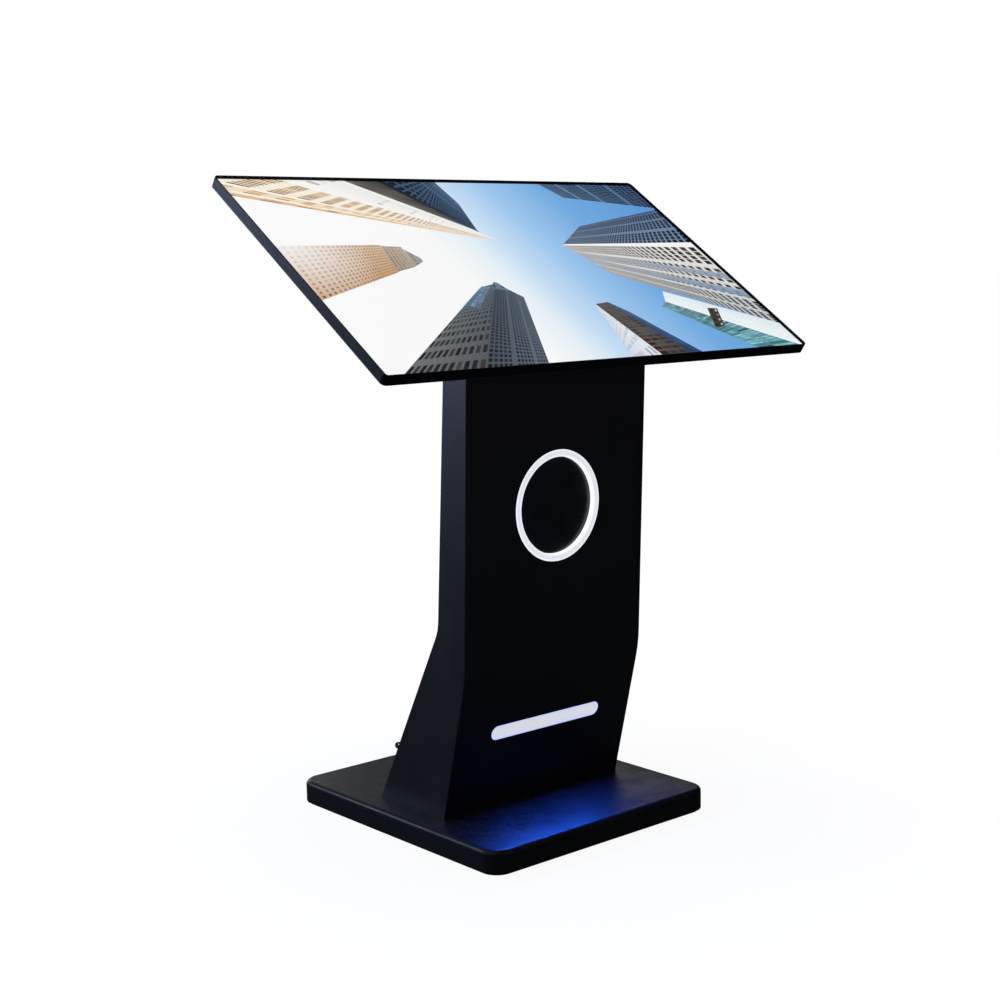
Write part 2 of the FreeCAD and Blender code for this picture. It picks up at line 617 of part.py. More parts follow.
def ring_led_board():
    back = -RING_RECESS - 14.5
    board = tube(RING_R_OUT - 1, RING_R_IN - 6, (0, 0, back), Z_AXIS, 1.6)
    lamps = []
    middle = (RING_R_OUT + RING_R_IN) / 2
    for k in range(36):
        turn = math.radians(10 * k)
        x, y = middle * math.cos(turn), middle * math.sin(turn)
        lamps.append(box((x - 1.75, x + 1.75), (y - 1.75, y + 1.75), (back + 1.6, back + 3.0)))
    return moved(joined([board] + lamps), ring_place(0, 0, 0))


def bar_diffuser():
    face = slot_prism(BAR_L, BAR_H, -SHEET - 3.2, 0.4, (0, 0))
    face = face.makeFillet(0.5, edges_where(face, lambda e: e.CenterOfMass.z > 0.39))
    seat = rounded_plate(BAR_L + 14, BAR_H + 14, 6, -SHEET - 3.2, -SHEET - 0.2)
    return moved(joined([face, seat]), bar_place(0, 0, 0))


def bar_housing():
    top, back = -SHEET - 3.2, -SHEET - 19.0
    pan = rounded_plate(BAR_L + 14, BAR_H + 14, 6, back, top)
    hollow = rounded_plate(BAR_L + 11, BAR_H + 11, 4.5, back + 1.5, top + 1)
    return moved(pan.cut(hollow), bar_place(0, 0, 0))


def bar_led_board():
    back = -SHEET - 17.5
    board = box((-BAR_L / 2, BAR_L / 2), (-6, 6), (back, back + 1.6))
    pitch = 16.0
    lamps = [box((pitch * k - 2.5, pitch * k + 2.5), (-2.5, 2.5), (back + 1.6, back + 3.2)) for k in range(-7, 8)]
    return moved(joined([board] + lamps), bar_place(0, 0, 0))


# ---------------------------------------------------------------- service door
def service_door():
    """The door in the flared rear face: a flat sheet with a stiffening return inside the backing lips."""
    sheet = box((-PANEL_HALF, PANEL_HALF), (DOOR_LOW, DOOR_HIGH), (-SHEET, 0))
    corners = edges_where(sheet, lambda e: abs(e.Vertexes[0].Z - e.Vertexes[-1].Z) > 1)
    sheet = sheet.makeFillet(3, corners)
    edge_x = -lock_x() - NUT_FLATS / math.sqrt(3) - 1.5 * FIT
    low, high = DOOR_LOW + 14, DOOR_HIGH - 14
    outer = box((-edge_x, edge_x), (low, high), (-SHEET - DOOR_RETURN, -SHEET))
    inner = box((-edge_x + SHEET, edge_x - SHEET), (low + SHEET, high - SHEET), (-60, 0))
    lock_hole = rod(LOCK_R + 0.2, (-lock_x(), LOCK_HEIGHT, -20), Z_AXIS, 40)
    door = sheet.fuse(outer.cut(inner)).removeSplitter().cut(lock_hole)
    return moved(door, REAR_LOW)


def hinge_axis_x():
    """Local x of the hinge pins: over the seam on the door's right-hand side."""
    return -(PANEL_HALF + GAP / 2)


def hinge_parts():
    """Leaves and pins of the two butt hinges, on the outer face: frame leaves, door leaves, pins."""
    frame_leaves, door_leaves, pins = [], [], []
    axis_x, third = hinge_axis_x(), HINGE_LEN / 3
    for middle in HINGE_PLACES:
        low = middle - HINGE_LEN / 2
        pin_bore = rod(HINGE_PIN_R, (axis_x, low - 1, HINGE_R), Y_AXIS, HINGE_LEN + 2)
        wide_bore = rod(HINGE_PIN_R + HINGE_RUN, (axis_x, low - 1, HINGE_R), Y_AXIS, HINGE_LEN + 2)
        frame = [box((axis_x - 7, axis_x - 1), (low, low + third - 0.2), (0, HINGE_LEAF)),
                 box((axis_x - 7, axis_x - 1), (low + 2 * third + 0.2, low + HINGE_LEN), (0, HINGE_LEAF)),
                 rod(HINGE_R, (axis_x, low, HINGE_R), Y_AXIS, third - 0.2),
                 rod(HINGE_R, (axis_x, low + 2 * third + 0.2, HINGE_R), Y_AXIS, third - 0.2),
                 box((axis_x - 7, axis_x - 4.2), (low, low + HINGE_LEN), (0, HINGE_LEAF))]
        frame_leaves.append(joined(frame).cut(pin_bore))
        door = [box((axis_x + 4.4, axis_x + 26), (low, low + HINGE_LEN), (0, HINGE_LEAF)),
                box((axis_x + 1, axis_x + 6), (low + third + 0.2, low + 2 * third - 0.2), (0, HINGE_LEAF)),
                rod(HINGE_R, (axis_x, low + third + 0.2, HINGE_R), Y_AXIS, third - 0.4)]
        leaf = joined(door).cut(wide_bore)
        for y in (middle - 16, middle, middle + 16):
            leaf = leaf.fuse(rod(2.2, (axis_x + 16, y, HINGE_LEAF), Z_AXIS, 0.9))
        door_leaves.append(leaf)
        pins.append(rod(HINGE_PIN_R, (axis_x, low, HINGE_R), Y_AXIS, HINGE_LEN))
    return [moved(group(shapes), REAR_LOW) for shapes in (frame_leaves, door_leaves, pins)]


def lock_place():
    """The lock's axis on the door's outer face, pointing outward."""
    return REAR_LOW * Placement(Vector(-lock_x(), LOCK_HEIGHT, 0), Rotation())


def lock_body():
    """The fixed housing of the cam lock, with its bezel on the door's outer face."""
    barrel = rod(LOCK_R, (0, 0, -LOCK_DEPTH), Z_AXIS, LOCK_DEPTH)
    bezel = rod(LOCK_R + 3, (0, 0, 0), Z_AXIS, 3)
    bezel = bezel.makeFillet(1.5, edges_where(bezel, lambda e: e.CenterOfMass.z > 2.9))
    bore = rod(PLUG_R + HINGE_RUN, (0, 0, -30), Z_AXIS, 60)
    return moved(joined([barrel, bezel]).cut(bore), lock_place())


def lock_nut():
    nut = hexagon(NUT_FLATS, -SHEET - NUT_T, NUT_T).cut(rod(LOCK_R, (0, 0, -30), Z_AXIS, 60))
    return moved(nut, lock_place())


def lock_plug():
    """The turning plug, with its keyway."""
    plug = rod(PLUG_R, (0, 0, -LOCK_DEPTH - 1), Z_AXIS, LOCK_DEPTH + 4.2)
    keyway = box((-3.6, 3.6), (-KEY_T / 2, KEY_T / 2), (-LOCK_DEPTH + 1.5, 10))
    return moved(plug.cut(keyway), lock_place())


def lock_cam():
    """The cranked cam behind the plug. It points up the slope when the door is free to open."""
    low = -LOCK_DEPTH - 1 - CAM_T
    tip_low = -LIP_IN - SHEET - 1.7 - CAM_T
    crank = LOCK_R + 1
    hub = box((-CAM_HALF, CAM_HALF), (-CAM_HALF, crank + CAM_T), (low, low + CAM_T))
    riser = box((-CAM_HALF, CAM_HALF), (crank, crank + CAM_T), (low, tip_low + CAM_T))
    tip = box((-CAM_HALF, CAM_HALF), (crank, CAM_REACH), (tip_low, tip_low + CAM_T))
    corners = edges_where(tip, lambda e: e.BoundBox.ZLength > 1 and e.CenterOfMass.y > CAM_REACH - 1e-3)
    return moved(joined([hub, riser, tip.makeFillet(3, corners)]), lock_place())


def lock_key():
    """The key: a flat blade in the keyway and a round bow with a hole."""
    half_t = KEY_T / 2 - 0.15
    blade = box((-3.3, 3.3), (-half_t, half_t), (-LOCK_DEPTH + 2, KEY_BOW_R + 4))
    bow = rod(KEY_BOW_R, (0, -half_t, 2 * KEY_BOW_R), Y_AXIS, 2 * half_t)
    bow = bow.cut(rod(2.5, (0, -5, 2.45 * KEY_BOW_R), Y_AXIS, 10))
    return moved(joined([blade, bow]), lock_place())


# ---------------------------------------------------------------- equipment in the column
EQUIPMENT_IN = 40.0
PLAYER_UP, PLAYER_W, PLAYER_H, PLAYER_D = 165.0, 190.0, 130.0, 36.0
DRIVER_UP, DRIVER_W, DRIVER_H, DRIVER_D = 58.0, 150.0, 50.0, 30.0


def equipment_plate():
    half = COLUMN_W / 2 - SHEET - FIT
    plate = box((-half, half), (20, 240), (-EQUIPMENT_IN - SHEET, -EQUIPMENT_IN))
    slots = [slot_prism(24, 6, -60, 0, (sx * 150, y)) for sx in (-1, 1) for y in (60, 120, 180)]
    return moved(plate.cut(slots), FRONT_LOW)


def rounded_case(width, height, depth, up):
    """A small equipment case on the back of the equipment plate."""
    high = -EQUIPMENT_IN - SHEET
    case = rounded_plate(width, height, 5, high - depth, high, (0, up))
    return case.makeFillet(2, edges_where(case, lambda e: e.CenterOfMass.z < high - depth + 1e-3))


def media_player():
    case = rounded_case(PLAYER_W, PLAYER_H, PLAYER_D, PLAYER_UP)
    back = -EQUIPMENT_IN - SHEET - PLAYER_D
    fins = [box((-70 + 14 * k, -66 + 14 * k), (PLAYER_UP - 45, PLAYER_UP + 45), (back - 1, back + 3))
            for k in range(11)]
    ports = [box((x, x + 14), (PLAYER_UP + PLAYER_H / 2 - 8, PLAYER_UP + PLAYER_H / 2 + 1),
                 (back + 12, back + 20)) for x in (-80, -55, 45)]
    return moved(case.cut(fins + ports), FRONT_LOW)


def light_driver():
    case = rounded_case(DRIVER_W, DRIVER_H, DRIVER_D, DRIVER_UP)
    back = -EQUIPMENT_IN - SHEET - DRIVER_D
    terminals = box((-DRIVER_W / 2 - 1, -DRIVER_W / 2 + 16), (DRIVER_UP - 18, DRIVER_UP + 18), (back - 1, back + 12))
    return moved(case.cut(terminals), FRONT_LOW)


HARNESS_R = 5.0


def column_middle(height):
    """Y halfway between the column's front and rear faces, above their bends."""
    level = ((0.0, height), (1.0, 0.0))
    front = crossing(line_at(FRONT_ELBOW, FRONT_LEAN, 0), level)
    rear = crossing(line_at(REAR_ELBOW, REAR_LEAN, 0), level)
    return (front[0] + rear[0]) / 2


def harness_points():
    """Route of the display's cable: out of the grommet, down the column and into the media player's top."""
    middle = top_middle()
    start = HEAD.multVec(Vector(0, middle, -HEAD_DEPTH + 14))
    below = HEAD.multVec(Vector(0, middle, -HEAD_DEPTH - 45))
    into_player = -EQUIPMENT_IN - SHEET - PLAYER_D / 2
    port = FRONT_LOW.multVec(Vector(0, PLAYER_UP + PLAYER_H / 2 + FIT, into_player))
    above = FRONT_LOW.multVec(Vector(0, PLAYER_UP + PLAYER_H / 2 + 60, into_player))
    route = [start, below]
    sways = (0.0, -14.0, 8.0, -4.0)
    for step, sway in enumerate(sways, 1):
        height = below.z + (above.z - below.z) * step / (len(sways) + 1)
        route.append(Vector(sway, column_middle(height), height))
    return route + [above, port]


def cable_tube(points, radius):
    """A tube of straight runs joined by arcs as large as the runs allow."""
    edges, last, smallest = [], points[0], 1e9
    for before, corner, after in zip(points, points[1:], points[2:]):
        into, out = (corner - before), (after - corner)
        run = min(into.Length, out.Length)
        into.normalize()
        out.normalize()
        turn = into.getAngle(out)
        cut = 0.45 * run
        bend = cut / math.tan(turn / 2)
        smallest = min(smallest, bend)
        start, end = corner - into * cut, corner + out * cut
        towards = (out - into)
        towards.normalize()
        centre = corner + towards * (bend / math.cos(turn / 2))
        middle = centre - towards * bend
        edges.append(Part.LineSegment(last, start).toShape())
        edges.append(Part.Arc(start, middle, end).toShape())
        last = end
    edges.append(Part.LineSegment(last, points[-1]).toShape())
    path = Part.Wire(edges)
    first = points[1] - points[0]
    profile = Part.Wire([Part.Circle(points[0], first, radius).toShape()])
    sweep = path.makePipeShell([profile], True, False)
    print(f"cable: length {path.Length:.0f}, smallest radius {smallest:.0f}, "
          f"volume share {sweep.Volume / (math.pi * radius ** 2 * path.Length):.3f}")
    return sweep


def display_harness():
    return cable_tube(harness_points(), HARNESS_R)


# ---------------------------------------------------------------- display head, in its own tilted frame
def head_outline(inset, z_low, z_high, radius):
    return rounded_plate(HEAD_W - 2 * inset, HEAD_H - 2 * inset, radius, z_low, z_high)


def head_frame():
    """The perimeter frame: an outer rim and a ledge under the glass."""
    rim = head_outline(0, BACKLIGHT_BACK, 0, HEAD_CORNER)
    rim = rim.makeFillet(0.8, edges_where(rim, lambda e: e.CenterOfMass.z > -1e-3))
    rim = rim.cut(head_outline(RIM, BACKLIGHT_BACK - 1, 1, RIM_CORNER))
    ledge_top = GASKET_BACK
    ledge = head_outline(RIM - 0.5, BACKLIGHT_BACK, ledge_top, RIM_CORNER)
    panel_room = 2 * (CELL_EDGE + FIT)
    opening = rounded_plate(ACTIVE_W + panel_room, ACTIVE_H + panel_room, 0.3, BACKLIGHT_BACK - 1, 1)
    return moved(rim.fuse(ledge.cut(opening)).removeSplitter(), HEAD)


def cover_glass():
    glass = rounded_plate(GLASS_W, GLASS_H, RIM_CORNER - RIM_GAP, -GLASS_T, 0)
    return moved(glass.makeChamfer(0.4, edges_where(glass, lambda e: e.CenterOfMass.z > -1e-3)), HEAD)


def touch_film():
    half_w, half_h = ACTIVE_W / 2 + GASKET_EDGE - FIT, ACTIVE_H / 2 + GASKET_EDGE - FIT
    return moved(box((-half_w, half_w), (-half_h, half_h), (-GLASS_T - FILM_T, -GLASS_T)), HEAD)


def border_gasket():
    """The black foam frame between the glass and the panel, which shows as the border of the screen."""
    ring = rounded_plate(GLASS_W, GLASS_H, RIM_CORNER - RIM_GAP, GASKET_BACK, -GLASS_T)
    half_w, half_h = ACTIVE_W / 2 + GASKET_EDGE, ACTIVE_H / 2 + GASKET_EDGE
    opening = box((-half_w, half_w), (-half_h, half_h), (-20, 1))
    return moved(ring.cut(opening), HEAD)


def panel_block(z_low, z_high):
    half_w, half_h = ACTIVE_W / 2 + CELL_EDGE, ACTIVE_H / 2 + CELL_EDGE
    return box((-half_w, half_w), (-half_h, half_h), (z_low, z_high))


def lcd_cell():
    return moved(panel_block(CELL_BACK, GASKET_BACK), HEAD)


def backlight_unit():
    unit = panel_block(BACKLIGHT_BACK, CELL_BACK)
    ribs = [box((-ACTIVE_W / 2 + 40, ACTIVE_W / 2 - 40), (y - 6, y + 6), (BACKLIGHT_BACK - 1, BACKLIGHT_BACK + 1.2))
            for y in (-180, -60, 60, 180)]
    return moved(unit.cut(ribs), HEAD)


def frame_screw_places():
    x_edge, y_edge = HEAD_W / 2 - 22, HEAD_H / 2 - 22
    places = [(x, sy * y_edge) for x in (-400.0, -200.0, 0.0, 200.0, 400.0) for sy in (-1, 1)]
    return places + [(sx * x_edge, y) for sx in (-1, 1) for y in (-110.0, 110.0)]


def head_rear_shell():
    """The folded rear shell: a flange under the frame and a shallow box for the electronics."""
    flange = head_outline(0, FLANGE_BACK, BACKLIGHT_BACK, HEAD_CORNER)
    flange = flange.makeFillet(0.8, edges_where(flange, lambda e: e.CenterOfMass.z < FLANGE_BACK + 1e-3))
    body = rounded_plate(BOX_W, BOX_H, BOX_CORNER, -HEAD_DEPTH, FLANGE_BACK + 0.2)
    body = body.makeFillet(3.0, edges_where(body, lambda e: e.CenterOfMass.z < -HEAD_DEPTH + 1e-3))
    hollow = rounded_plate(BOX_W - 2 * SHELL_T, BOX_H - 2 * SHELL_T, BOX_CORNER - SHELL_T,
                           -HEAD_DEPTH + SHELL_T, BACKLIGHT_BACK + 1)
    hollow = hollow.makeFillet(1.5, edges_where(hollow, lambda e: e.CenterOfMass.z < -HEAD_DEPTH + SHELL_T + 1e-3))
    shell = flange.fuse(body).removeSplitter().cut(hollow)
    cuts = [rounded_plate(COVER_W - 40, COVER_H - 36, 6, -HEAD_DEPTH - 5, -HEAD_DEPTH + 10, (0, COVER_Y))]
    cuts += [rod(2.0 + FIT, (x, y, FLANGE_BACK - 1), Z_AXIS, 4) for x, y in frame_screw_places()]
    cuts += [rod(4 + HOLE_FIT, (x, y, -HEAD_DEPTH - 5), Z_AXIS, 10) for x, y in head_bolt_places()]
    cuts += [rod(2.0 + FIT, (x, y, -HEAD_DEPTH - 5), Z_AXIS, 10) for x, y in cover_screw_places()]
    cuts.append(rod(14, (0, top_middle(), -HEAD_DEPTH - 5), Z_AXIS, 10))
    cuts.append(rod(BUTTON_R + 2 + FIT, (BUTTON_X, -BOX_H / 2 - 5, button_z()), Y_AXIS, 10))
    for side in (-1, 1):
        for column in range(-6, 7):
            for row in range(-2, 3):
                x, y = side * SPEAKER_X + 8.0 * column, SPEAKER_Y + 7.0 * row
                cuts.append(rod(1.75, (x, y, -HEAD_DEPTH - 5), Z_AXIS, 10))
    return moved(shell.cut(cuts), HEAD)


def button_z():
    return (FLANGE_BACK - HEAD_DEPTH) / 2


def cover_screw_places():
    return [(sx * (COVER_W / 2 - 9), COVER_Y + sy * (COVER_H / 2 - 9)) for sx in (-1, 0, 1) for sy in (-1, 1)]


def head_access_cover():
    low = -HEAD_DEPTH - SHELL_T
    plate = rounded_plate(COVER_W, COVER_H, 8, low, -HEAD_DEPTH, (0, COVER_Y))
    cuts = [rod(2.0 + FIT, (x, y, low - 5), Z_AXIS, 10) for x, y in cover_screw_places()]
    reach = FAN_SIZE / 2 - 5
    for row in range(-5, 6):
        height = row * 6.5
        half = math.sqrt(reach ** 2 - height ** 2) if abs(height) < reach else 0
        if half > 6:
            cuts.append(slot_prism(2 * half, 3.2, low - 5, -HEAD_DEPTH + 5, (0, FAN_Y + height)))
    for sx in (-1, 1):
        for row in range(-6, 7):
            cuts.append(slot_prism(58, 3.2, low - 5, -HEAD_DEPTH + 5, (sx * 92, FAN_Y + 7.5 * row - 3)))
    cuts += [rod(2.0 + FIT, (x, y, low - 5), Z_AXIS, 10) for x, y in fan_screw_places()]
    return moved(plate.cut(cuts), HEAD)


def screws_at(places, z, shank):
    """Button-head screws whose heads stand on a face that looks along local -Z."""
    flip = Placement(Vector(), Rotation(X_AXIS, 180))
    screw = moved(button_screw(2.0, shank, 3.8, 2.2), flip)
    return group([moved(shifted(screw, x, y, z), HEAD) for x, y in places])


def frame_screws():
    return screws_at(frame_screw_places(), FLANGE_BACK, SHELL_T)


def cover_screws():
    return screws_at(cover_screw_places(), -HEAD_DEPTH - SHELL_T, 6)


def fan_screw_places():
    half = FAN_SIZE / 2 - 4.25
    return [(sx * half, FAN_Y + sy * half) for sx in (-1, 1) for sy in (-1, 1)]


def fan_screws():
    return screws_at(fan_screw_places(), -HEAD_DEPTH - SHELL_T, 12)


def fan_frame():
    """The square frame of the exhaust fan, with a hub on four spokes."""
    low = -HEAD_DEPTH
    frame = rounded_plate(FAN_SIZE, FAN_SIZE, 5, low, low + FAN_DEPTH, (0, FAN_Y))
    bore = rod(FAN_SIZE / 2 - 2, (0, FAN_Y, low - 1), Z_AXIS, FAN_DEPTH + 2)
    holes = [rod(2.0 + FIT, (x, y, low - 1), Z_AXIS, FAN_DEPTH + 2) for x, y in fan_screw_places()]
    frame = frame.cut([bore] + holes)
    top = low + FAN_DEPTH
    spokes = [box((-FAN_SIZE / 2 + 1, FAN_SIZE / 2 - 1), (FAN_Y - 1.5, FAN_Y + 1.5), (top - 2, top)),
              box((-1.5, 1.5), (FAN_Y - FAN_SIZE / 2 + 1, FAN_Y + FAN_SIZE / 2 - 1), (top - 2, top))]
    hub = rod(16, (0, FAN_Y, top - 2), Z_AXIS, 2)
    spindle = rod(1.5, (0, FAN_Y, low + 2.5), Z_AXIS, FAN_DEPTH - 3)
    return moved(joined([frame, hub, spindle] + spokes), HEAD)


def fan_impeller():
    low, depth = -HEAD_DEPTH + 1.5, FAN_DEPTH - 4.5
    hub = rod(15, (0, FAN_Y, low), Z_AXIS, depth)
    bore = rod(1.5 + HINGE_RUN, (0, FAN_Y, low + 0.8), Z_AXIS, depth)
    blade = box((12, FAN_SIZE / 2 - 3.5), (-0.9, 0.9), (-depth * 0.62, depth * 0.62))
    tilted = moved(blade, Placement(Vector(), Rotation(X_AXIS, 38)))
    limits = rod(FAN_SIZE / 2 - 3.5, (0, 0, -depth / 2), Z_AXIS, depth)
    tilted = tilted.common(limits)
    blades = []
    for k in range(7):
        turn = Placement(Vector(0, FAN_Y, low + depth / 2), Rotation(Z_AXIS, 360 / 7 * k))
        blades.append(moved(tilted, turn))
    return moved(joined([hub] + blades).cut(bore), HEAD)


def display_rail(side):
    x, back = side * RAIL_X, -HEAD_DEPTH + SHELL_T
    rail = box((x - RAIL_W / 2, x + RAIL_W / 2), (-RAIL_L / 2, RAIL_L / 2), (back, BACKLIGHT_BACK))
    hollow = box((x - RAIL_W / 2 + RAIL_WALL, x + RAIL_W / 2 - RAIL_WALL), (-RAIL_L, RAIL_L),
                 (back + RAIL_WALL, 10))
    holes = [rod(4 + HOLE_FIT, (bx, by, back - 5), Z_AXIS, 12) for bx, by in head_bolt_places() if bx * side > 0]
    holes += [rod(2.05, (bx, by, back - 5), Z_AXIS, 12) for bx, by in cover_screw_places() if bx * side > 0]
    return moved(rail.cut([hollow] + holes), HEAD)


def board(width, height, centre, parts):
    """A circuit board on four pillars, with blocks and round parts standing on it."""
    seat = BACKLIGHT_BACK - 5.0
    x, y = centre
    sheet = box((x - width / 2, x + width / 2), (y - height / 2, y + height / 2), (seat - 1.6, seat))
    pillars = [rod(3, (x + sx * (width / 2 - 8), y + sy * (height / 2 - 8), seat), Z_AXIS, 5.0)
               for sx in (-1, 1) for sy in (-1, 1)]
    blocks = []
    for kind, px, py, a, b, tall in parts:
        if kind == "block":
            blocks.append(box((x + px - a / 2, x + px + a / 2), (y + py - b / 2, y + py + b / 2),
                              (seat - 1.6 - tall, seat - 1.6)))
        else:
            blocks.append(rod(a, (x + px, y + py, seat - 1.6 - tall), Z_AXIS, tall))
    return moved(joined([sheet] + pillars + blocks), HEAD)


def display_power_board():
    parts = [("block", -45, 10, 40, 46, 18), ("block", 30, 30, 30, 26, 14), ("block", 0, -40, 60, 12, 16)]
    parts += [("round", 62, -20 + 18 * k, 7, 0, 19) for k in range(3)]
    parts += [("block", -70, -42, 22, 14, 12)]
    return board(170, 116, (-275, 20), parts)


def display_main_board():
    parts = [("block", 0, 10, 40, 40, 6), ("block", -50, 34, 24, 14, 5), ("block", 48, -30, 26, 20, 8)]
    parts += [("block", -60 + 24 * k, -48, 16, 14, 9) for k in range(5)]
    parts += [("round", 62, 28, 5, 0, 9), ("round", 62, 12, 5, 0, 9)]
    return board(160, 120, (275, 20), parts)


def speaker(side):
    low = -HEAD_DEPTH + SHELL_T
    case = rounded_plate(SPEAKER_W, SPEAKER_H, 5, low, low + SPEAKER_D, (side * SPEAKER_X, SPEAKER_Y))
    cone = Part.makeCone(17, 8, 7, Vector(side * SPEAKER_X, SPEAKER_Y, low), Z_AXIS)
    dome = Part.makeSphere(6, Vector(side * SPEAKER_X, SPEAKER_Y, low + 6.5))
    dome = dome.common(box((-600, 600), (-400, 400), (low + 1, low + 12)))
    return moved(case.cut(cone).fuse(dome), HEAD)


def power_button():
    face = -BOX_H / 2
    cap = rod(BUTTON_R, (BUTTON_X, face - 3.5, button_z()), Y_AXIS, 9)
    cap = cap.makeFillet(0.8, edges_where(cap, lambda e: e.CenterOfMass.y < face - 3.4))
    return moved(cap, HEAD)


def power_button_body():
    face = -BOX_H / 2
    bezel = tube(BUTTON_R + 4, BUTTON_R + 0.15, (BUTTON_X, face - 2, button_z()), Y_AXIS, 2)
    sleeve = tube(BUTTON_R + 2, BUTTON_R + 0.15, (BUTTON_X, face, button_z()), Y_AXIS, 12)
    cap = rod(BUTTON_R + 2, (BUTTON_X, face + 12, button_z()), Y_AXIS, 3)
    return moved(joined([bezel, sleeve, cap]), HEAD)


# ---------------------------------------------------------------- build and write
def all_nodes():
    left, right = column_sides()
    frame_leaves, door_leaves, pins = hinge_parts()
    nodes = {
        "base_pad": base_pad(),
        "base_bottom_plate": base_bottom_plate(),
        "base_shell": base_shell(),
        "base_ballast": base_ballast(),
        "base_beam_left": base_beam(-1),
        "base_beam_right": base_beam(1),
        "base_screws": base_screws(),
        "mains_inlet": mains_inlet(),
        "inlet_pins": inlet_pins(),
        "switch_frame": switch_frame(),
        "switch_rocker": switch_rocker(),
        "column_foot_plate": column_foot_plate(),
        "column_bolts": column_bolts(),
        "beam_nuts": beam_nuts(),
        "column_side_left": left,
        "column_side_right": right,
        "column_front_panel": column_front_panel(),
        "column_rear_panel": column_rear_panel(),
        "column_rear_rail": column_rear_rail(),
        "column_top_plate": column_top_plate(),
        "cable_grommet": cable_grommet(),
        "head_bolts": head_bolts(),
        "rail_nuts": rail_nuts(),
        "ring_diffuser": ring_diffuser(),
        "ring_disc": ring_disc(),
        "ring_housing": ring_housing(),
        "ring_led_board": ring_led_board(),
        "bar_diffuser": bar_diffuser(),
        "bar_housing": bar_housing(),
        "bar_led_board": bar_led_board(),
        "service_door": service_door(),
        "hinge_frame_leaves": frame_leaves,
        "hinge_door_leaves": door_leaves,
        "hinge_pins": pins,
        "lock_body": lock_body(),
        "lock_nut": lock_nut(),
        "lock_plug": lock_plug(),
        "lock_cam": lock_cam(),
        "lock_key": lock_key(),
        "equipment_plate": equipment_plate(),
        "media_player": media_player(),
        "light_driver": light_driver(),
        "display_harness": display_harness(),
        "head_frame": head_frame(),
        "cover_glass": cover_glass(),
        "touch_film": touch_film(),
        "border_gasket": border_gasket(),
        "lcd_cell": lcd_cell(),
        "backlight_unit": backlight_unit(),
        "head_rear_shell": head_rear_shell(),
        "head_access_cover": head_access_cover(),
        "head_screws": group(frame_screws().Solids + cover_screws().Solids + fan_screws().Solids),
        "fan_frame": fan_frame(),
        "fan_impeller": fan_impeller(),
        "display_rails": group([display_rail(-1), display_rail(1)]),
        "display_power_board": display_power_board(),
        "display_main_board": display_main_board(),
        "speakers": group([speaker(-1), speaker(1)]),
        "power_button": power_button(),
        "power_button_body": power_button_body(),
    }
    return nodes


def write(nodes):
    os.makedirs("parts", exist_ok=True)
    for name, shape in nodes.items():
        solids = shape.Solids
        if not solids or not all(s.isValid() and s.Volume > 0 for s in solids):
            print(f"CHECK {name}: {len(solids)} solids, valid {[s.isValid() for s in solids]}")
        kept = solids[0] if len(solids) == 1 else Part.makeCompound(solids)
        kept.exportStep(f"parts/{name}.step")
    print(f"{len(nodes)} nodes, {sum(len(s.Solids) for s in nodes.values())} solids")


write(all_nodes())
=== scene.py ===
# %% [markdown]
# # A touchscreen kiosk, finished in Blender
#
# The kiosk is already designed and packed: its sheet steel, fasteners, hinges and boards are exact solids.
# This lesson loads them as a fixed frame and gives every one of them the finish that the real piece has.
# A few visible things that a solid model can't hold, such as the picture on the display and the glow of
# the lamps, are made here too. Lengths are in metres, +Z is up and the kiosk faces -Y.

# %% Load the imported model
import math

import bpy
from mathutils import Matrix, Vector


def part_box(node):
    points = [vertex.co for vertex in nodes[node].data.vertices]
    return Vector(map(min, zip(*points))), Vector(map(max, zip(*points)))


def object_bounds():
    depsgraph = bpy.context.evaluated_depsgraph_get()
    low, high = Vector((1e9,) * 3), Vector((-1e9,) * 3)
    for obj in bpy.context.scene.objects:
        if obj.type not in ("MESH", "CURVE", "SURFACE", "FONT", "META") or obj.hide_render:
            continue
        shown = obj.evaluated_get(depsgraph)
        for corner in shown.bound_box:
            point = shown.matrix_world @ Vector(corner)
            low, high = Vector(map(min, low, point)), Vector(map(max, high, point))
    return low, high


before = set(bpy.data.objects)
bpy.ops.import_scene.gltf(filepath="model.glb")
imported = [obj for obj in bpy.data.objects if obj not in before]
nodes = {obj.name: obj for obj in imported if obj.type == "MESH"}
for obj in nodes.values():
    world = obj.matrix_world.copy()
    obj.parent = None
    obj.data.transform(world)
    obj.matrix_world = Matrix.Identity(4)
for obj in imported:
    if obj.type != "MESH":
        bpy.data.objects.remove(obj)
cad_low, cad_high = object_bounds()
MM = 0.001
print(len(nodes), "nodes; box", [round(v, 3) for v in (*cad_low, *cad_high)])

# %% [markdown]
# ## The places that everything else is measured from
#
# The display leans back from the user, so its picture needs a frame of its own: an origin at the lower
# left corner of the lit area, one direction to the right and one up the slope. All three are worked out
# from the box of the liquid crystal cell, a thin flat block that lies along that slope. The box gives only
# how far the block rises and how far it runs back, so its lean and its thickness are found together: each
# is worked out from the other, over and over, until neither changes. The lean moves only half of the way
# each time, because whole steps would swing from one side of the true value to the other.

# %% The picture's corner, directions and size
cell_low, cell_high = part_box("lcd_cell")
CELL_OVERLAP = 2 * MM
SHAPE_W, SHAPE_H = 16, 9
ROUNDS = 20
PICTURE_W = cell_high.x - cell_low.x - 2 * CELL_OVERLAP
PICTURE_H = PICTURE_W * SHAPE_H / SHAPE_W


def lean_and_thickness(rise, run, length):
    """The lean of a thin block of known length, and its thickness, from how far it rises and runs back."""
    lean = math.atan2(rise, run)
    for _ in range(ROUNDS):
        thickness = (run - length * math.cos(lean)) / math.sin(lean)
        lean = (lean + math.asin((rise - thickness * math.cos(lean)) / length)) / 2
    return lean, thickness


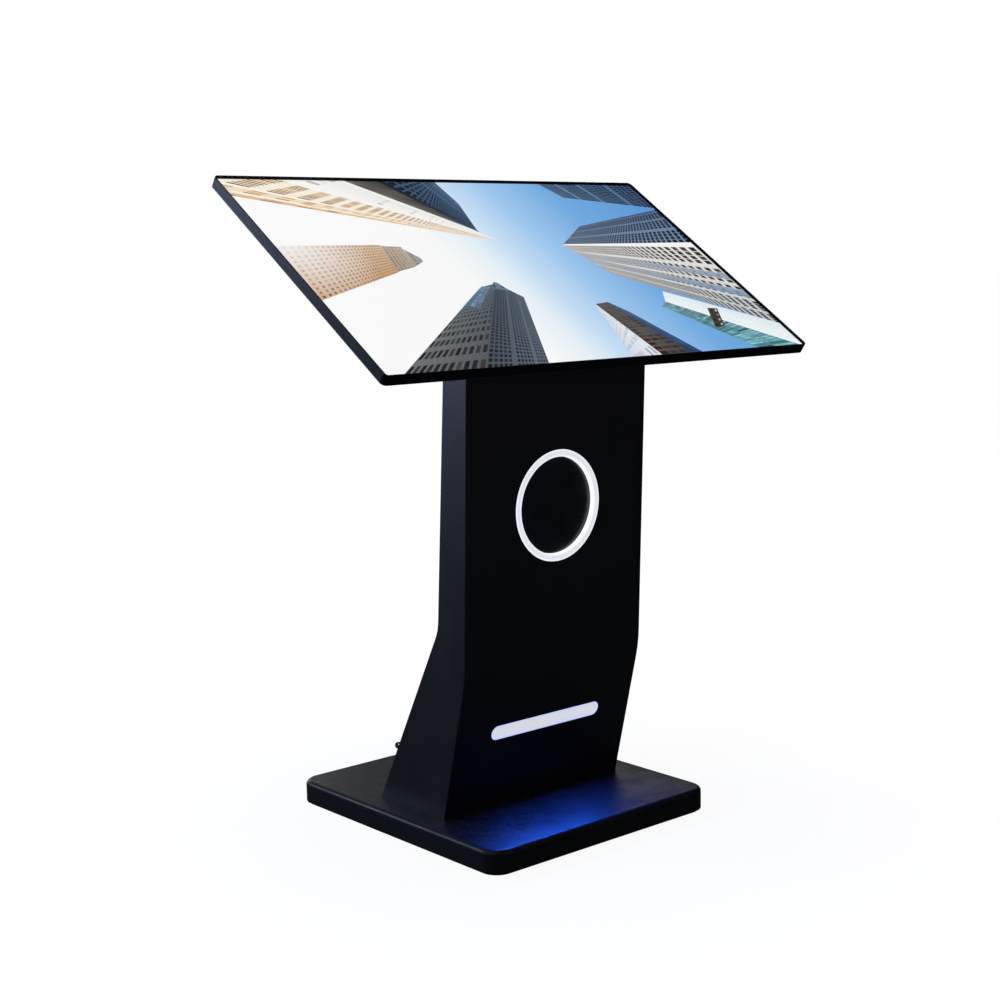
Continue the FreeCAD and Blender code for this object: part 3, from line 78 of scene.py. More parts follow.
TILT, cell_thickness = lean_and_thickness(
    cell_high.z - cell_low.z, cell_high.y - cell_low.y, PICTURE_H + 2 * CELL_OVERLAP)
ACROSS = Vector((1, 0, 0))
UP_SLOPE = Vector((0, math.cos(TILT), math.sin(TILT)))
cell_middle = (cell_low + cell_high) / 2
picture_corner = cell_middle - ACROSS * PICTURE_W / 2 - UP_SLOPE * PICTURE_H / 2
print("tilt", round(math.degrees(TILT), 2), "cell thickness in mm", round(cell_thickness / MM, 2))

# %% [markdown]
# ## Helpers for node materials
#
# Every finish below is a small node tree on one Principled shader. Short helpers keep the trees readable.
# They start a material, add a node with its settings, map a value onto a range, mix two colours and raise
# a bump. One makes noise that can be stretched along chosen directions, which is how brushed metal
# differs from cast plastic.

# %% Start a material and add nodes to it
# The sockets of a Mix node that mixes colours, by number: share, first colour, second colour, result.
MIX_SHARE, MIX_FIRST, MIX_SECOND, MIX_RESULT = 0, 6, 7, 2


def new_finish(name, colour, roughness, metallic=0.0, specular=0.5):
    """A material with one Principled shader, and its plain values set on the shader's own sockets."""
    material = bpy.data.materials.new(name)
    material.use_nodes = True
    tree = material.node_tree
    shader = tree.nodes["Principled BSDF"]
    shader.inputs["Base Color"].default_value = (*colour, 1)
    shader.inputs["Roughness"].default_value = roughness
    shader.inputs["Metallic"].default_value = metallic
    shader.inputs["Specular IOR Level"].default_value = specular
    return material, tree, shader


def add(tree, kind, links=None, **settings):
    """A node of that kind. Links go to its sockets by name or number; other settings are its properties."""
    node = tree.nodes.new("ShaderNode" + kind)
    for key, value in settings.items():
        setattr(node, key, value)
    for key, value in (links or {}).items():
        socket = node.inputs[key]
        if isinstance(value, bpy.types.NodeSocket):
            tree.links.new(value, socket)
        else:
            socket.default_value = value
    return node


def object_points(tree, stretch=(1, 1, 1)):
    """The surface's own coordinates in metres, multiplied by stretch."""
    place = add(tree, "TexCoord").outputs["Object"]
    if tuple(stretch) == (1, 1, 1):
        return place
    return add(tree, "VectorMath", {0: place, 1: stretch}, operation="MULTIPLY").outputs[0]


def noise(tree, scale, detail=2.0, roughness=0.5, stretch=(1, 1, 1)):
    """Noise with about scale humps to the metre."""
    links = {"Vector": object_points(tree, stretch), "Scale": scale, "Detail": detail, "Roughness": roughness}
    return add(tree, "TexNoise", links).outputs["Fac"]


def spread(tree, value, low, high, from_low=0.3, from_high=0.7):
    """Maps from_low to from_high onto low to high, and holds what lies outside at the ends."""
    links = {"Value": value, "From Min": from_low, "From Max": from_high, "To Min": low, "To Max": high}
    return add(tree, "MapRange", links).outputs["Result"]


def blend_colours(tree, share, first, second):
    """first where share is 0 and second where it is 1. Either may be a colour or a socket."""
    node = add(tree, "Mix", data_type="RGBA")
    for number, value in ((MIX_SHARE, share), (MIX_FIRST, first), (MIX_SECOND, second)):
        if isinstance(value, bpy.types.NodeSocket):
            tree.links.new(value, node.inputs[number])
        elif number == MIX_SHARE:
            node.inputs[number].default_value = value
        else:
            node.inputs[number].default_value = (*value, 1)
    return node.outputs[MIX_RESULT]


def maths(tree, operation, *values):
    """One step of arithmetic on numbers or sockets."""
    links = {index: value for index, value in enumerate(values)}
    return add(tree, "Math", links, operation=operation).outputs[0]


def bump(tree, shader, height, strength, distance):
    """Makes the surface look raised by up to distance, in metres, where height is 1."""
    node = add(tree, "Bump", {"Height": height, "Strength": strength, "Distance": distance})
    tree.links.new(node.outputs["Normal"], shader.inputs["Normal"])


def wire(tree, value, shader, socket):
    """Lets a node's value drive one of the shader's sockets."""
    tree.links.new(value, shader.inputs[socket])


def dress(names, material):
    """Gives the named nodes this material and no other."""
    for name in names:
        mesh = nodes[name].data
        mesh.materials.clear()
        mesh.materials.append(material)
    print(material.name, "on", ", ".join(names))


# %% [markdown]
# ## Powder-coated steel
#
# The column, the base and the display's rear shell are sheet steel with a black powder coat. Powder melts
# into a skin with a fine orange peel, about a millimetre from hump to hump, over a slower waviness.
# Fingers leave faint patches that are a little smoother, and dust settles on faces that look up. The
# coat is nearly black, with a cold tint that shows only where it catches a light.

# %% A powder coat with grain, handling marks and dust
COAT_BLACK = (0.0075, 0.0078, 0.0105)
COAT_PALE = (0.0125, 0.0130, 0.0170)
DUST = (0.085, 0.083, 0.078)


def powder_coat(name, grain=820.0, roughness=(0.37, 0.43)):
    material, tree, shader = new_finish(name, COAT_BLACK, 0.4, specular=0.34)
    patches = noise(tree, 7.0, detail=5.0, roughness=0.62)
    coat = blend_colours(tree, spread(tree, patches, 0.0, 1.0), COAT_BLACK, COAT_PALE)
    normal = add(tree, "NewGeometry").outputs["Normal"]
    upward = add(tree, "SeparateXYZ", {0: normal}).outputs["Z"]
    specks = noise(tree, 130.0, detail=6.0, roughness=0.75)
    flat = spread(tree, upward, 0.0, 1.0, from_low=0.75, from_high=1.0)
    settled = maths(tree, "MULTIPLY", flat, spread(tree, specks, 0.0, 0.35, from_low=0.5, from_high=0.8))
    wire(tree, blend_colours(tree, settled, coat, DUST), shader, "Base Color")
    wipes = noise(tree, 22.0, detail=4.0, stretch=(1.0, 1.0, 0.35))
    smooth = maths(tree, "ADD", spread(tree, wipes, *roughness), maths(tree, "MULTIPLY", settled, 0.5))
    wire(tree, smooth, shader, "Roughness")
    peel = maths(tree, "ADD", noise(tree, grain, detail=1.5), maths(tree, "MULTIPLY", noise(tree, 90.0), 1.6))
    bump(tree, shader, peel, strength=0.22, distance=0.12 * MM)
    return material


POWDER_NODES = [
    "column_side_left", "column_side_right", "column_front_panel", "column_rear_panel", "column_rear_rail",
    "service_door", "head_rear_shell", "head_access_cover",
]
dress(POWDER_NODES, powder_coat("column_powder_coat"))

# %% [markdown]
# ## The base, which shoes touch
#
# The base has the same coat, a little duller, but it stands where people put their feet. Along the rim of
# its top face the coat is rubbed paler in small scuffs. The rub is worked out from the distance to the rim,
# so it follows the real edge of the sheet instead of being painted by hand. The base is centred on the
# origin, so one sum serves both ends of each axis.

# %% A scuffed coat for the base
base_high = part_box("base_shell")[1]
RUB_WIDTH = 5 * MM
SCUFF_PALE = (0.075, 0.077, 0.082)


def rim_closeness(tree):
    """1 at the rim of the base's top face, 0 further in than the rub's width."""
    parts = add(tree, "SeparateXYZ", {0: object_points(tree)}).outputs
    gap_x = maths(tree, "SUBTRACT", base_high.x, maths(tree, "ABSOLUTE", parts["X"]))
    gap_y = maths(tree, "SUBTRACT", base_high.y, maths(tree, "ABSOLUTE", parts["Y"]))
    near = maths(tree, "MINIMUM", gap_x, gap_y)
    side = spread(tree, near, 1.0, 0.0, from_low=0.0, from_high=RUB_WIDTH)
    start, full = base_high.z - 2 * RUB_WIDTH, base_high.z - RUB_WIDTH * 0.4
    height = spread(tree, parts["Z"], 0.0, 1.0, from_low=start, from_high=full)
    return maths(tree, "MULTIPLY", side, height)


def scuffed_coat():
    material = powder_coat("base_powder_coat", roughness=(0.36, 0.5))
    tree = material.node_tree
    shader = tree.nodes["Principled BSDF"]
    under = shader.inputs["Base Color"].links[0].from_socket
    grains = noise(tree, 160.0, detail=7.0, roughness=0.7)
    chips = spread(tree, grains, 0.0, 0.8, from_low=0.52, from_high=0.7)
    worn = maths(tree, "MULTIPLY", rim_closeness(tree), chips)
    wire(tree, blend_colours(tree, worn, under, SCUFF_PALE), shader, "Base Color")
    shader.inputs["Specular IOR Level"].default_value = 0.16
    return material


dress(["base_shell"], scuffed_coat())

# %% [markdown]
# ## The display's frame
#
# The slim frame round the glass is a satin black aluminium extrusion. It mirrors less than the powder coat
# does, so the edge of the display stays dark, and very fine lines run across it from side to side.
# Noise that is squeezed in two directions and left long in the third gives such lines.

# %% Satin black extrusion
def satin_frame():
    dark, pale = (0.005, 0.006, 0.008), (0.009, 0.010, 0.012)
    material, tree, shader = new_finish("frame_satin_black", (0.007, 0.008, 0.010), 0.42, specular=0.07)
    patches = spread(tree, noise(tree, 14.0, detail=4.0), 0.0, 1.0)
    wire(tree, blend_colours(tree, patches, dark, pale), shader, "Base Color")
    lines = noise(tree, 420.0, detail=2.0, stretch=(0.03, 1.0, 1.0))
    wire(tree, spread(tree, lines, 0.36, 0.48), shader, "Roughness")
    bump(tree, shader, lines, strength=0.08, distance=0.05 * MM)
    return material


dress(["head_frame"], satin_frame())

# %% [markdown]
# ## Glass, film and the black border
#
# A toughened cover glass lies over the whole face, with a thin touch film under it. Both are made
# see-through by a low alpha and keep a smooth gloss, because their job here is to mirror the room softly
# while the picture shines through. Real refraction would take longer to render, for little gain on sheets
# this thin. The border under them is black foam, seen only as a dark line round the picture.

# %% The clear sheets
def clear_sheet(name, colour, alpha, roughness):
    material, tree, shader = new_finish(name, colour, roughness, specular=0.5)
    smears = noise(tree, 9.0, detail=6.0, roughness=0.65, stretch=(1.0, 0.6, 0.6))
    wire(tree, spread(tree, smears, roughness, roughness + 0.05), shader, "Roughness")
    shader.inputs["Alpha"].default_value = alpha
    material.surface_render_method = "BLENDED"
    return material


def border_foam():
    material, tree, shader = new_finish("border_black_foam", (0.004, 0.004, 0.005), 0.8, specular=0.3)
    cells = add(tree, "TexVoronoi", {"Vector": object_points(tree), "Scale": 1500.0}).outputs["Distance"]
    # Painted shade: each pore is painted darker towards its middle, where the bump sinks it, and paler at the
    # rims between pores.
    depth = spread(tree, cells, 0.0, 1.0, from_low=0.1, from_high=0.8)
    wire(tree, blend_colours(tree, depth, (0.003, 0.003, 0.004), (0.008, 0.008, 0.010)), shader, "Base Color")
    bump(tree, shader, cells, strength=0.3, distance=0.1 * MM)
    return material


dress(["cover_glass"], clear_sheet("cover_glass_clear", (0.02, 0.03, 0.03), 0.05, 0.03))
dress(["touch_film"], clear_sheet("touch_film_clear", (0.03, 0.03, 0.04), 0.02, 0.10))
dress(["border_gasket"], border_foam())

# %% [markdown]
# ## The picture: looking up between towers
#
# The display shows a wide view straight up between tall buildings: a bright sun at the left edge, a blue
# sky to the right, and towers that lean towards the middle. It is drawn by nodes, not by an image, so it
# stays sharp at any distance. Each wall of a tower is a rectangle seen in perspective. Four corners, given
# as shares of the picture's width and height, fix a projective map that turns any point of the picture
# into the wall's own width and height. On that flat wall, floors and windows are a simple grid.

# %% The map from the picture onto one wall
def solve(rows, values):
    """Gauss elimination for a small set of equations."""
    size = len(values)
    table = [list(row) + [value] for row, value in zip(rows, values)]
    for pivot in range(size):
        best = max(range(pivot, size), key=lambda r: abs(table[r][pivot]))
        table[pivot], table[best] = table[best], table[pivot]
        for other in range(size):
            if other != pivot:
                share = table[other][pivot] / table[pivot][pivot]
                table[other] = [a - share * b for a, b in zip(table[other], table[pivot])]
    return [table[i][size] / table[i][i] for i in range(size)]


def wall_map(corners):
    """Three rows that take (u, v, 1) to the wall. Corners: foot left, foot right, top right, top left.

    The last row gives the depth, and its sign is chosen so that depth is above 0 on the wall itself."""
    rows, values = [], []
    for (u, v), (s, t) in zip(corners, ((0, 0), (1, 0), (1, 1), (0, 1))):
        rows.append([u, v, 1, 0, 0, 0, -s * u, -s * v])
        values.append(s)
        rows.append([0, 0, 0, u, v, 1, -t * u, -t * v])
        values.append(t)
    a = solve(rows, values)
    rows = [Vector(a[0:3]), Vector(a[3:6]), Vector((a[6], a[7], 1.0))]
    middle = Vector((sum(c[0] for c in corners) / 4, sum(c[1] for c in corners) / 4, 1.0))
    sign = 1 if rows[2].dot(middle) > 0 else -1
    return [row * sign for row in rows]


# %% One wall as a node group
# Large unlike numbers, so that the sine of a window's place jumps about and each window gets a chance of
# its own. A white noise node would do the same, but it takes more of the shader's small store of values.
CHANCE_STEPS, CHANCE_STRETCH = (12.9898, 78.233, 0.0), 43758.5
CHANCE_POWER = 1.4
PATCHES_ACROSS, PATCHES_UP = 2.5, 5.0
PATCH_DARK, PATCH_LIGHT = 0.25, 1.5


def wall_group():
    """Paints a wall over what is under it: windows, each with its own brightness, piers and haze."""
    group = bpy.data.node_groups.new("tower_wall", "ShaderNodeTree")
    face = group.interface
    vectors = ("Point", "Row across", "Row up", "Row depth")
    numbers = (
        "Columns", "Floors", "Window width", "Window height", "Pier every", "Haze low", "Haze high", "Fade")
    colours = ("Under", "Wall", "Wall shade", "Glass dark", "Glass light", "Haze")
    for label in vectors:
        face.new_socket(label, in_out="INPUT", socket_type="NodeSocketVector")
    for label in numbers:
        face.new_socket(label, in_out="INPUT", socket_type="NodeSocketFloat")
    for label in colours:
        face.new_socket(label, in_out="INPUT", socket_type="NodeSocketColor")
    face.new_socket("Colour", in_out="OUTPUT", socket_type="NodeSocketColor")
    given = group.nodes.new("NodeGroupInput").outputs
    result = group.nodes.new("NodeGroupOutput")

    def dot(row):
        links = {0: given["Point"], 1: given[row]}
        return add(group, "VectorMath", links, operation="DOT_PRODUCT").outputs["Value"]

    def between(value, half):
        """1 where the value is within half of one half, else 0."""
        return maths(group, "COMPARE", value, 0.5, half)

    def times(*values):
        return maths(group, "MULTIPLY", *values)

    depth = dot("Row depth")
    across = maths(group, "DIVIDE", dot("Row across"), depth)
    up = maths(group, "DIVIDE", dot("Row up"), depth)
    inside = times(between(across, 0.5), between(up, 0.5))
    inside = times(inside, maths(group, "GREATER_THAN", depth, 0.0))
    column = times(across, given["Columns"])
    floor = times(up, given["Floors"])
    half_w = times(given["Window width"], 0.5)
    half_h = times(given["Window height"], 0.5)
    in_column = between(maths(group, "FRACT", column), half_w)
    in_floor = between(maths(group, "FRACT", floor), half_h)
    window = times(in_column, in_floor)
    number = maths(group, "ADD", maths(group, "FLOOR", column), 1.0)
    place = maths(group, "MODULO", number, given["Pier every"])
    window = times(window, maths(group, "GREATER_THAN", place, 0.5))
    links = {0: maths(group, "FLOOR", column), 1: maths(group, "FLOOR", floor)}
    cell = add(group, "CombineXYZ", links).outputs[0]
    stir = add(group, "VectorMath", {0: cell, 1: CHANCE_STEPS}, operation="DOT_PRODUCT").outputs["Value"]
    chance = maths(group, "FRACT", times(maths(group, "SINE", stir), CHANCE_STRETCH))
    spot = add(group, "CombineXYZ", {0: times(across, PATCHES_ACROSS), 1: times(up, PATCHES_UP)}).outputs[0]
    links = {"Vector": spot, "Scale": 1.0, "Detail": 2.0}
    broad = add(group, "TexNoise", links, noise_dimensions="2D").outputs["Fac"]
    chance = times(maths(group, "POWER", chance, CHANCE_POWER), spread(group, broad, PATCH_DARK, PATCH_LIGHT))
    panes = blend_colours(group, chance, given["Glass dark"], given["Glass light"])
    share = spread(group, across, 0.0, 1.0, from_low=0.0, from_high=1.0)
    stone = blend_colours(group, share, given["Wall"], given["Wall shade"])
    painted = blend_colours(group, window, stone, panes)
    height = spread(group, up, 0.0, 1.0, from_low=0.0, from_high=1.0)
    growth = times(height, maths(group, "SUBTRACT", given["Haze high"], given["Haze low"]))
    painted = blend_colours(group, maths(group, "ADD", given["Haze low"], growth), painted, given["Haze"])
    cover = times(inside, maths(group, "SUBTRACT", 1.0, given["Fade"]))
    group.links.new(blend_colours(group, cover, given["Under"], painted), result.inputs["Colour"])
    return group


WALL = wall_group()
print("one wall takes", len(WALL.nodes), "nodes")

# %% [markdown]
# ## The sky
#
# The sky is white on the sun's side and turns blue across the picture's width, by a ramp of colours. The
# distance from the sun itself is kept too, because the warm tower beside it drowns in the glare. It is
# measured on the real picture, which is wider than high, so the glare comes out round.

# %% Sky and sun
picture_material, picture, picture_shader = new_finish("lit_picture", (0.0, 0.0, 0.0), 0.35, specular=0.2)


def picture_point():
    """(u, v, 1): shares of the picture's width and height at the surface."""
    place = object_points(picture)
    offset = add(picture, "VectorMath", {0: place, 1: tuple(picture_corner)}, operation="SUBTRACT").outputs[0]
    shares = []
    for direction, length in ((ACROSS, PICTURE_W), (UP_SLOPE, PICTURE_H)):
        links = {0: offset, 1: tuple(direction / length)}
        shares.append(add(picture, "VectorMath", links, operation="DOT_PRODUCT").outputs["Value"])
    return add(picture, "CombineXYZ", {0: shares[0], 1: shares[1], 2: 1.0}).outputs[0], shares


POINT, (SHARE_U, SHARE_V) = picture_point()
SUN = (0.02, 0.655)
SKY_DRIFT = 0.035
SKY_STOPS = (
    (0.00, (1.0, 1.0, 1.0)),
    (0.34, (1.0, 1.0, 1.0)),
    (0.43, (0.84, 0.93, 0.985)),
    (0.51, (0.58, 0.76, 0.96)),
    (0.61, (0.36, 0.60, 0.90)),
    (0.76, (0.18, 0.43, 0.79)),
    (1.00, (0.11, 0.33, 0.70)),
)


def ramp(tree, value, stops):
    node = add(tree, "ValToRGB", {"Fac": value})
    node.color_ramp.interpolation = "LINEAR"
    points = node.color_ramp.elements
    while len(points) < len(stops):
        points.new(0.5)
    for point, (place, colour) in zip(points, stops):
        point.position = place
        point.color = (*colour, 1)
    return node.outputs["Color"]


def sun_distance():
    aspect = PICTURE_W / PICTURE_H
    du = maths(picture, "MULTIPLY", maths(picture, "SUBTRACT", SHARE_U, SUN[0]), aspect)
    dv = maths(picture, "SUBTRACT", SHARE_V, SUN[1])
    squares = maths(picture, "ADD", maths(picture, "MULTIPLY", du, du), maths(picture, "MULTIPLY", dv, dv))
    return maths(picture, "SQRT", squares)


from_sun = sun_distance()
drift = maths(picture, "MULTIPLY", maths(picture, "SUBTRACT", SHARE_V, 0.5), SKY_DRIFT)
scene_colour = ramp(picture, maths(picture, "ADD", SHARE_U, drift), SKY_STOPS)
print("sky of", len(SKY_STOPS), "colours, with the sun at", SUN)

# %% [markdown]
# ## The towers
#
# Each wall is painted over what is already there, so where two overlap the one in front comes later. The
# warm tower beside the sun fades into its glare. Most walls are hazier at the top than at the foot, which
# gives the height. The numbers of columns and floors are chosen so that windows are small but can still
# be told apart on the panel.

# %% Helpers that paint a wall or a strip of it
# More columns than any wall has, so that no column is a pier.
NO_PIERS = 999.0


def tone(red, green, blue):
    """A display colour from 0 to 255, as the linear colour that a shader wants, by the sRGB curve."""
    return tuple(
        ((c / 255 + 0.055) / 1.055) ** 2.4 if c > 10 else c / 255 / 12.92 for c in (red, green, blue))


def strip(corners, start, end):
    """The part of a wall between two shares of its width."""
    foot_left, foot_right, top_right, top_left = (Vector(corner) for corner in corners)
    foot = [foot_left.lerp(foot_right, share) for share in (start, end)]
    top = [top_left.lerp(top_right, share) for share in (start, end)]
    return tuple(tuple(corner) for corner in (foot[0], foot[1], top[1], top[0]))


def paint_wall(under, corners, grid, window, colours, haze, hazes, pier=NO_PIERS, fade=0.0):
    """Paints one wall over the colour under it.

    The grid is columns and floors, and the window is its share of a column and of a floor. The colours are
    the wall's at its left and right, then the darkest and the lightest glass. The haze has a colour, and a
    strength at the foot and at the top. Every pier-th column has no windows."""
    node = picture.nodes.new("ShaderNodeGroup")
    node.node_tree = WALL
    picture.links.new(POINT, node.inputs["Point"])
    picture.links.new(under, node.inputs["Under"])
    for label, row in zip(("Row across", "Row up", "Row depth"), wall_map(corners)):
        node.inputs[label].default_value = tuple(row)
    labels = ("Columns", "Floors", "Window width", "Window height", "Haze low", "Haze high", "Pier every")
    for label, value in zip(labels, (*grid, *window, *hazes, pier)):
        node.inputs[label].default_value = value
    if isinstance(fade, bpy.types.NodeSocket):
        picture.links.new(fade, node.inputs["Fade"])
    for label, value in zip(("Wall", "Wall shade", "Glass dark", "Glass light", "Haze"), (*colours, haze)):
        node.inputs[label].default_value = (*value, 1)
    print("a wall of", grid[0], "by", grid[1], "windows")
    return node.outputs["Colour"]


# %% The tall pale tower along the upper left
WHITE, SKY_HAZE = tone(255, 255, 255), tone(175, 210, 245)
GLARE, GLARE_REACH = 0.85, 0.30
glare = spread(picture, from_sun, GLARE, 0.0, from_low=0.0, from_high=GLARE_REACH)
PALE = ((-0.243, 1.035), (0.184, 1.137), (0.489, 0.662), (0.484, 0.654))
PALE_STONE = (tone(254, 252, 248), tone(248, 246, 240))
GOLD = (tone(250, 226, 190), tone(244, 222, 190), tone(176, 116, 48), tone(250, 226, 186))
colour = paint_wall(
    scene_colour, PALE, (5, 70), (0.25, 0.25),
    (*PALE_STONE, tone(214, 196, 168), tone(248, 240, 226)), WHITE, (0.2, 0.1))
colour = paint_wall(
    colour, strip(PALE, 0.0, 0.09), (2, 110), (0.7, 0.5),
    (tone(226, 176, 116), tone(236, 198, 150), *GOLD[2:]), WHITE, (0.0, 0.35))
colour = paint_wall(colour, strip(PALE, 0.14, 0.26), (3, 170), (0.6, 0.5), GOLD, WHITE, (0.0, 0.35))
colour = paint_wall(
    colour, strip(PALE, 0.30, 0.62), (9, 190), (0.60, 0.55),
    (tone(252, 240, 220), tone(250, 242, 228), tone(112, 68, 24), tone(232, 190, 130)), WHITE, (0.0, 0.25))
colour = paint_wall(
    colour, strip(PALE, 0.72, 0.95), (3, 60), (0.5, 0.12),
    (tone(250, 248, 244), tone(238, 238, 236), tone(186, 182, 174), tone(240, 238, 232)), WHITE, (0.1, 0.2))

# %% The dark tower at the top edge
colour = paint_wall(
    colour, ((0.250, 1.03), (0.338, 1.03), (0.470, 0.705), (0.464, 0.712)), (1, 60), (0.9, 0.35),
    (tone(122, 114, 102), tone(56, 58, 62), tone(88, 84, 78), tone(108, 102, 92)), SKY_HAZE, (0.0, 0.12))
colour = paint_wall(
    colour, ((0.338, 1.04), (0.478, 1.04), (0.487, 0.870), (0.468, 0.708)), (20, 38), (0.72, 0.64),
    (tone(58, 82, 110), tone(96, 132, 168), tone(4, 8, 16), tone(26, 42, 66)),
    SKY_HAZE, (0.0, 0.03), pier=7.0)
colour = paint_wall(
    colour, ((0.330, 1.04), (0.346, 1.04), (0.472, 0.702), (0.466, 0.705)), (1, 1), (0.0, 0.0),
    (tone(14, 16, 20), tone(24, 28, 36), tone(0, 0, 0), tone(0, 0, 0)), SKY_HAZE, (0.0, 0.1))

# %% The warm tower on the left, lit from behind by the sun
WARM = (tone(208, 170, 132), tone(222, 196, 168), tone(104, 58, 22), tone(176, 128, 84))
colour = paint_wall(
    colour, ((-0.03, 0.338), (-0.03, 0.638), (0.216, 0.634), (0.204, 0.486)), (12, 26), (0.55, 0.42),
    WARM, WHITE, (0.0, 0.0), fade=glare)
colour = paint_wall(
    colour, ((0.204, 0.490), (0.216, 0.628), (0.258, 0.622), (0.250, 0.512)), (12, 6), (0.55, 0.50),
    (tone(178, 158, 142), tone(188, 172, 158), tone(104, 84, 70), tone(170, 148, 128)), WHITE, (0.0, 0.1))
colour = paint_wall(
    colour, ((0.250, 0.514), (0.258, 0.610), (0.278, 0.560), (0.277, 0.540)), (8, 4), (0.6, 0.55),
    (tone(158, 144, 134), tone(150, 150, 146), tone(86, 78, 72), tone(150, 138, 126)), WHITE, (0.1, 0.15))

# %% The stone tower at the lower middle: two walls that meet at a corner, and two upper tiers
STONE_DARK, STONE_LIT = tone(18, 16, 14), tone(70, 66, 60)
colour = paint_wall(
    colour, ((0.010, -0.03), (0.190, -0.03), (0.391, 0.412), (0.350, 0.396)), (11, 26), (0.60, 0.56),
    (tone(112, 116, 116), tone(84, 90, 96), STONE_DARK, STONE_LIT),
    tone(120, 144, 166), (0.0, 0.30))
colour = paint_wall(
    colour, ((0.190, -0.03), (0.333, -0.03), (0.425, 0.335), (0.391, 0.414)), (16, 40), (0.66, 0.62),
    (tone(74, 80, 88), tone(104, 116, 130), tone(10, 12, 16), tone(44, 52, 62)),
    tone(96, 118, 142), (0.0, 0.22), pier=6.0)
colour = paint_wall(
    colour, ((0.276, 0.304), (0.306, 0.290), (0.372, 0.396), (0.352, 0.398)), (3, 8), (0.7, 0.6),
    (tone(96, 122, 146), tone(100, 124, 146), tone(82, 108, 134), tone(140, 168, 192)), WHITE, (0.0, 0.0))
colour = paint_wall(
    colour, ((0.372, 0.385), (0.408, 0.372), (0.396, 0.418), (0.388, 0.420)), (3, 3), (0.5, 0.6),
    (tone(92, 112, 134), tone(112, 134, 156), tone(40, 52, 66), tone(120, 142, 164)), WHITE, (0.0, 0.1))

# %% The slim tower with one white wall
colour = paint_wall(
    colour, ((0.536, -0.03), (0.618, -0.03), (0.577, 0.283), (0.571, 0.262)), (10, 46), (0.5, 0.4),
    (tone(216, 224, 234), tone(232, 238, 244), tone(150, 170, 190), tone(226, 236, 246)), WHITE, (0.0, 0.1))
colour = paint_wall(
    colour, ((0.618, -0.03), (0.697, -0.03), (0.611, 0.290), (0.576, 0.282)), (3, 22), (0.82, 0.60),
    (tone(112, 82, 64), tone(88, 68, 58), tone(20, 30, 34), tone(66, 84, 88)), SKY_HAZE, (0.0, 0.08))
colour = paint_wall(
    colour, ((0.697, -0.03), (0.730, -0.03), (0.640, 0.232), (0.611, 0.290)), (3, 50), (0.7, 0.55),
    (tone(40, 66, 106), tone(52, 84, 130), tone(22, 40, 70), tone(60, 92, 138)), SKY_HAZE, (0.0, 0.15))

# %% The glass block behind the big tower
colour = paint_wall(
    colour, ((1.03, -0.04), (1.03, 0.10), (0.777, 0.336), (0.755, 0.272)), (2, 30), (0.15, 0.10),
    (tone(246, 252, 254), tone(226, 240, 246), tone(150, 190, 206), tone(214, 236, 242)), WHITE, (0.0, 0.1))
TEAL = (tone(96, 158, 172), tone(70, 130, 146), tone(22, 70, 82), tone(150, 214, 220))
colour = paint_wall(
    colour, ((0.895, -0.04), (1.03, -0.045), (0.757, 0.278), (0.736, 0.251)), (2, 64), (0.9, 0.62),
    TEAL, WHITE, (0.0, 0.1))
colour = paint_wall(
    colour, ((0.816, 0.122), (0.845, 0.128), (0.874, 0.226), (0.849, 0.232)), (2, 4), (0.4, 0.45),
    (tone(76, 66, 54), tone(52, 46, 40), tone(30, 26, 24), tone(220, 214, 200)), WHITE, (0.0, 0.0))

# %% The big tower from the right edge
RIBS_DARK, RIBS_LIT = tone(16, 18, 24), tone(84, 78, 72)
colour = paint_wall(
    colour, ((1.03, 0.095), (1.03, 0.592), (0.646, 0.616), (0.697, 0.440)), (24, 46), (0.84, 0.60),
    (tone(196, 202, 208), tone(236, 234, 230), RIBS_DARK, RIBS_LIT),
    tone(206, 196, 186), (0.0, 0.42), pier=5.0)
colour = paint_wall(
    colour, ((1.03, 0.250), (1.03, 0.300), (0.668, 0.545), (0.674, 0.525)), (1, 30), (0.3, 0.2),
    (tone(126, 148, 172), tone(150, 168, 188), tone(90, 110, 134), tone(150, 170, 190)),
    tone(206, 202, 198), (0.0, 0.5))
colour = paint_wall(
    colour, ((1.03, 0.372), (1.03, 0.410), (0.656, 0.580), (0.660, 0.566)), (1, 30), (0.3, 0.2),
    (tone(140, 158, 180), tone(158, 174, 192), tone(100, 118, 140), tone(156, 174, 192)),
    tone(210, 206, 200), (0.0, 0.5))
colour = paint_wall(
    colour, ((1.03, 0.620), (1.03, 0.848), (0.738, 0.732), (0.646, 0.622)), (16, 50), (0.84, 0.66),
    (tone(120, 144, 172), tone(84, 110, 144), tone(6, 10, 18), tone(38, 44, 56)),
    tone(120, 134, 156), (0.0, 0.34), pier=5.0)
colour = paint_wall(
    colour, ((1.03, 0.590), (1.03, 0.624), (0.652, 0.624), (0.640, 0.617)), (1, 3), (0.1, 0.1),
    (tone(246, 247, 250), tone(255, 255, 255), tone(230, 232, 236), tone(250, 250, 250)), WHITE, (0.0, 0.1))

# %% The dark glass building that looks in from the top right
colour = paint_wall(
    colour, ((1.03, 1.04), (0.728, 1.04), (0.772, 0.915), (1.03, 0.842)), (28, 14), (0.80, 0.74),
    (tone(66, 96, 134), tone(110, 146, 186), tone(5, 9, 18), tone(30, 46, 72)),
    SKY_HAZE, (0.0, 0.02), pier=7.0)
print("the picture has", sum(n.type == "GROUP" for n in picture.nodes), "walls")

# %% [markdown]
# ## Light behind the picture
#
# A liquid crystal panel is lit from behind, so the picture is light and not paint: it goes to the
# shader's emission, and the surface itself stays black. A faint fine grain keeps the roughness
# from being perfectly even.

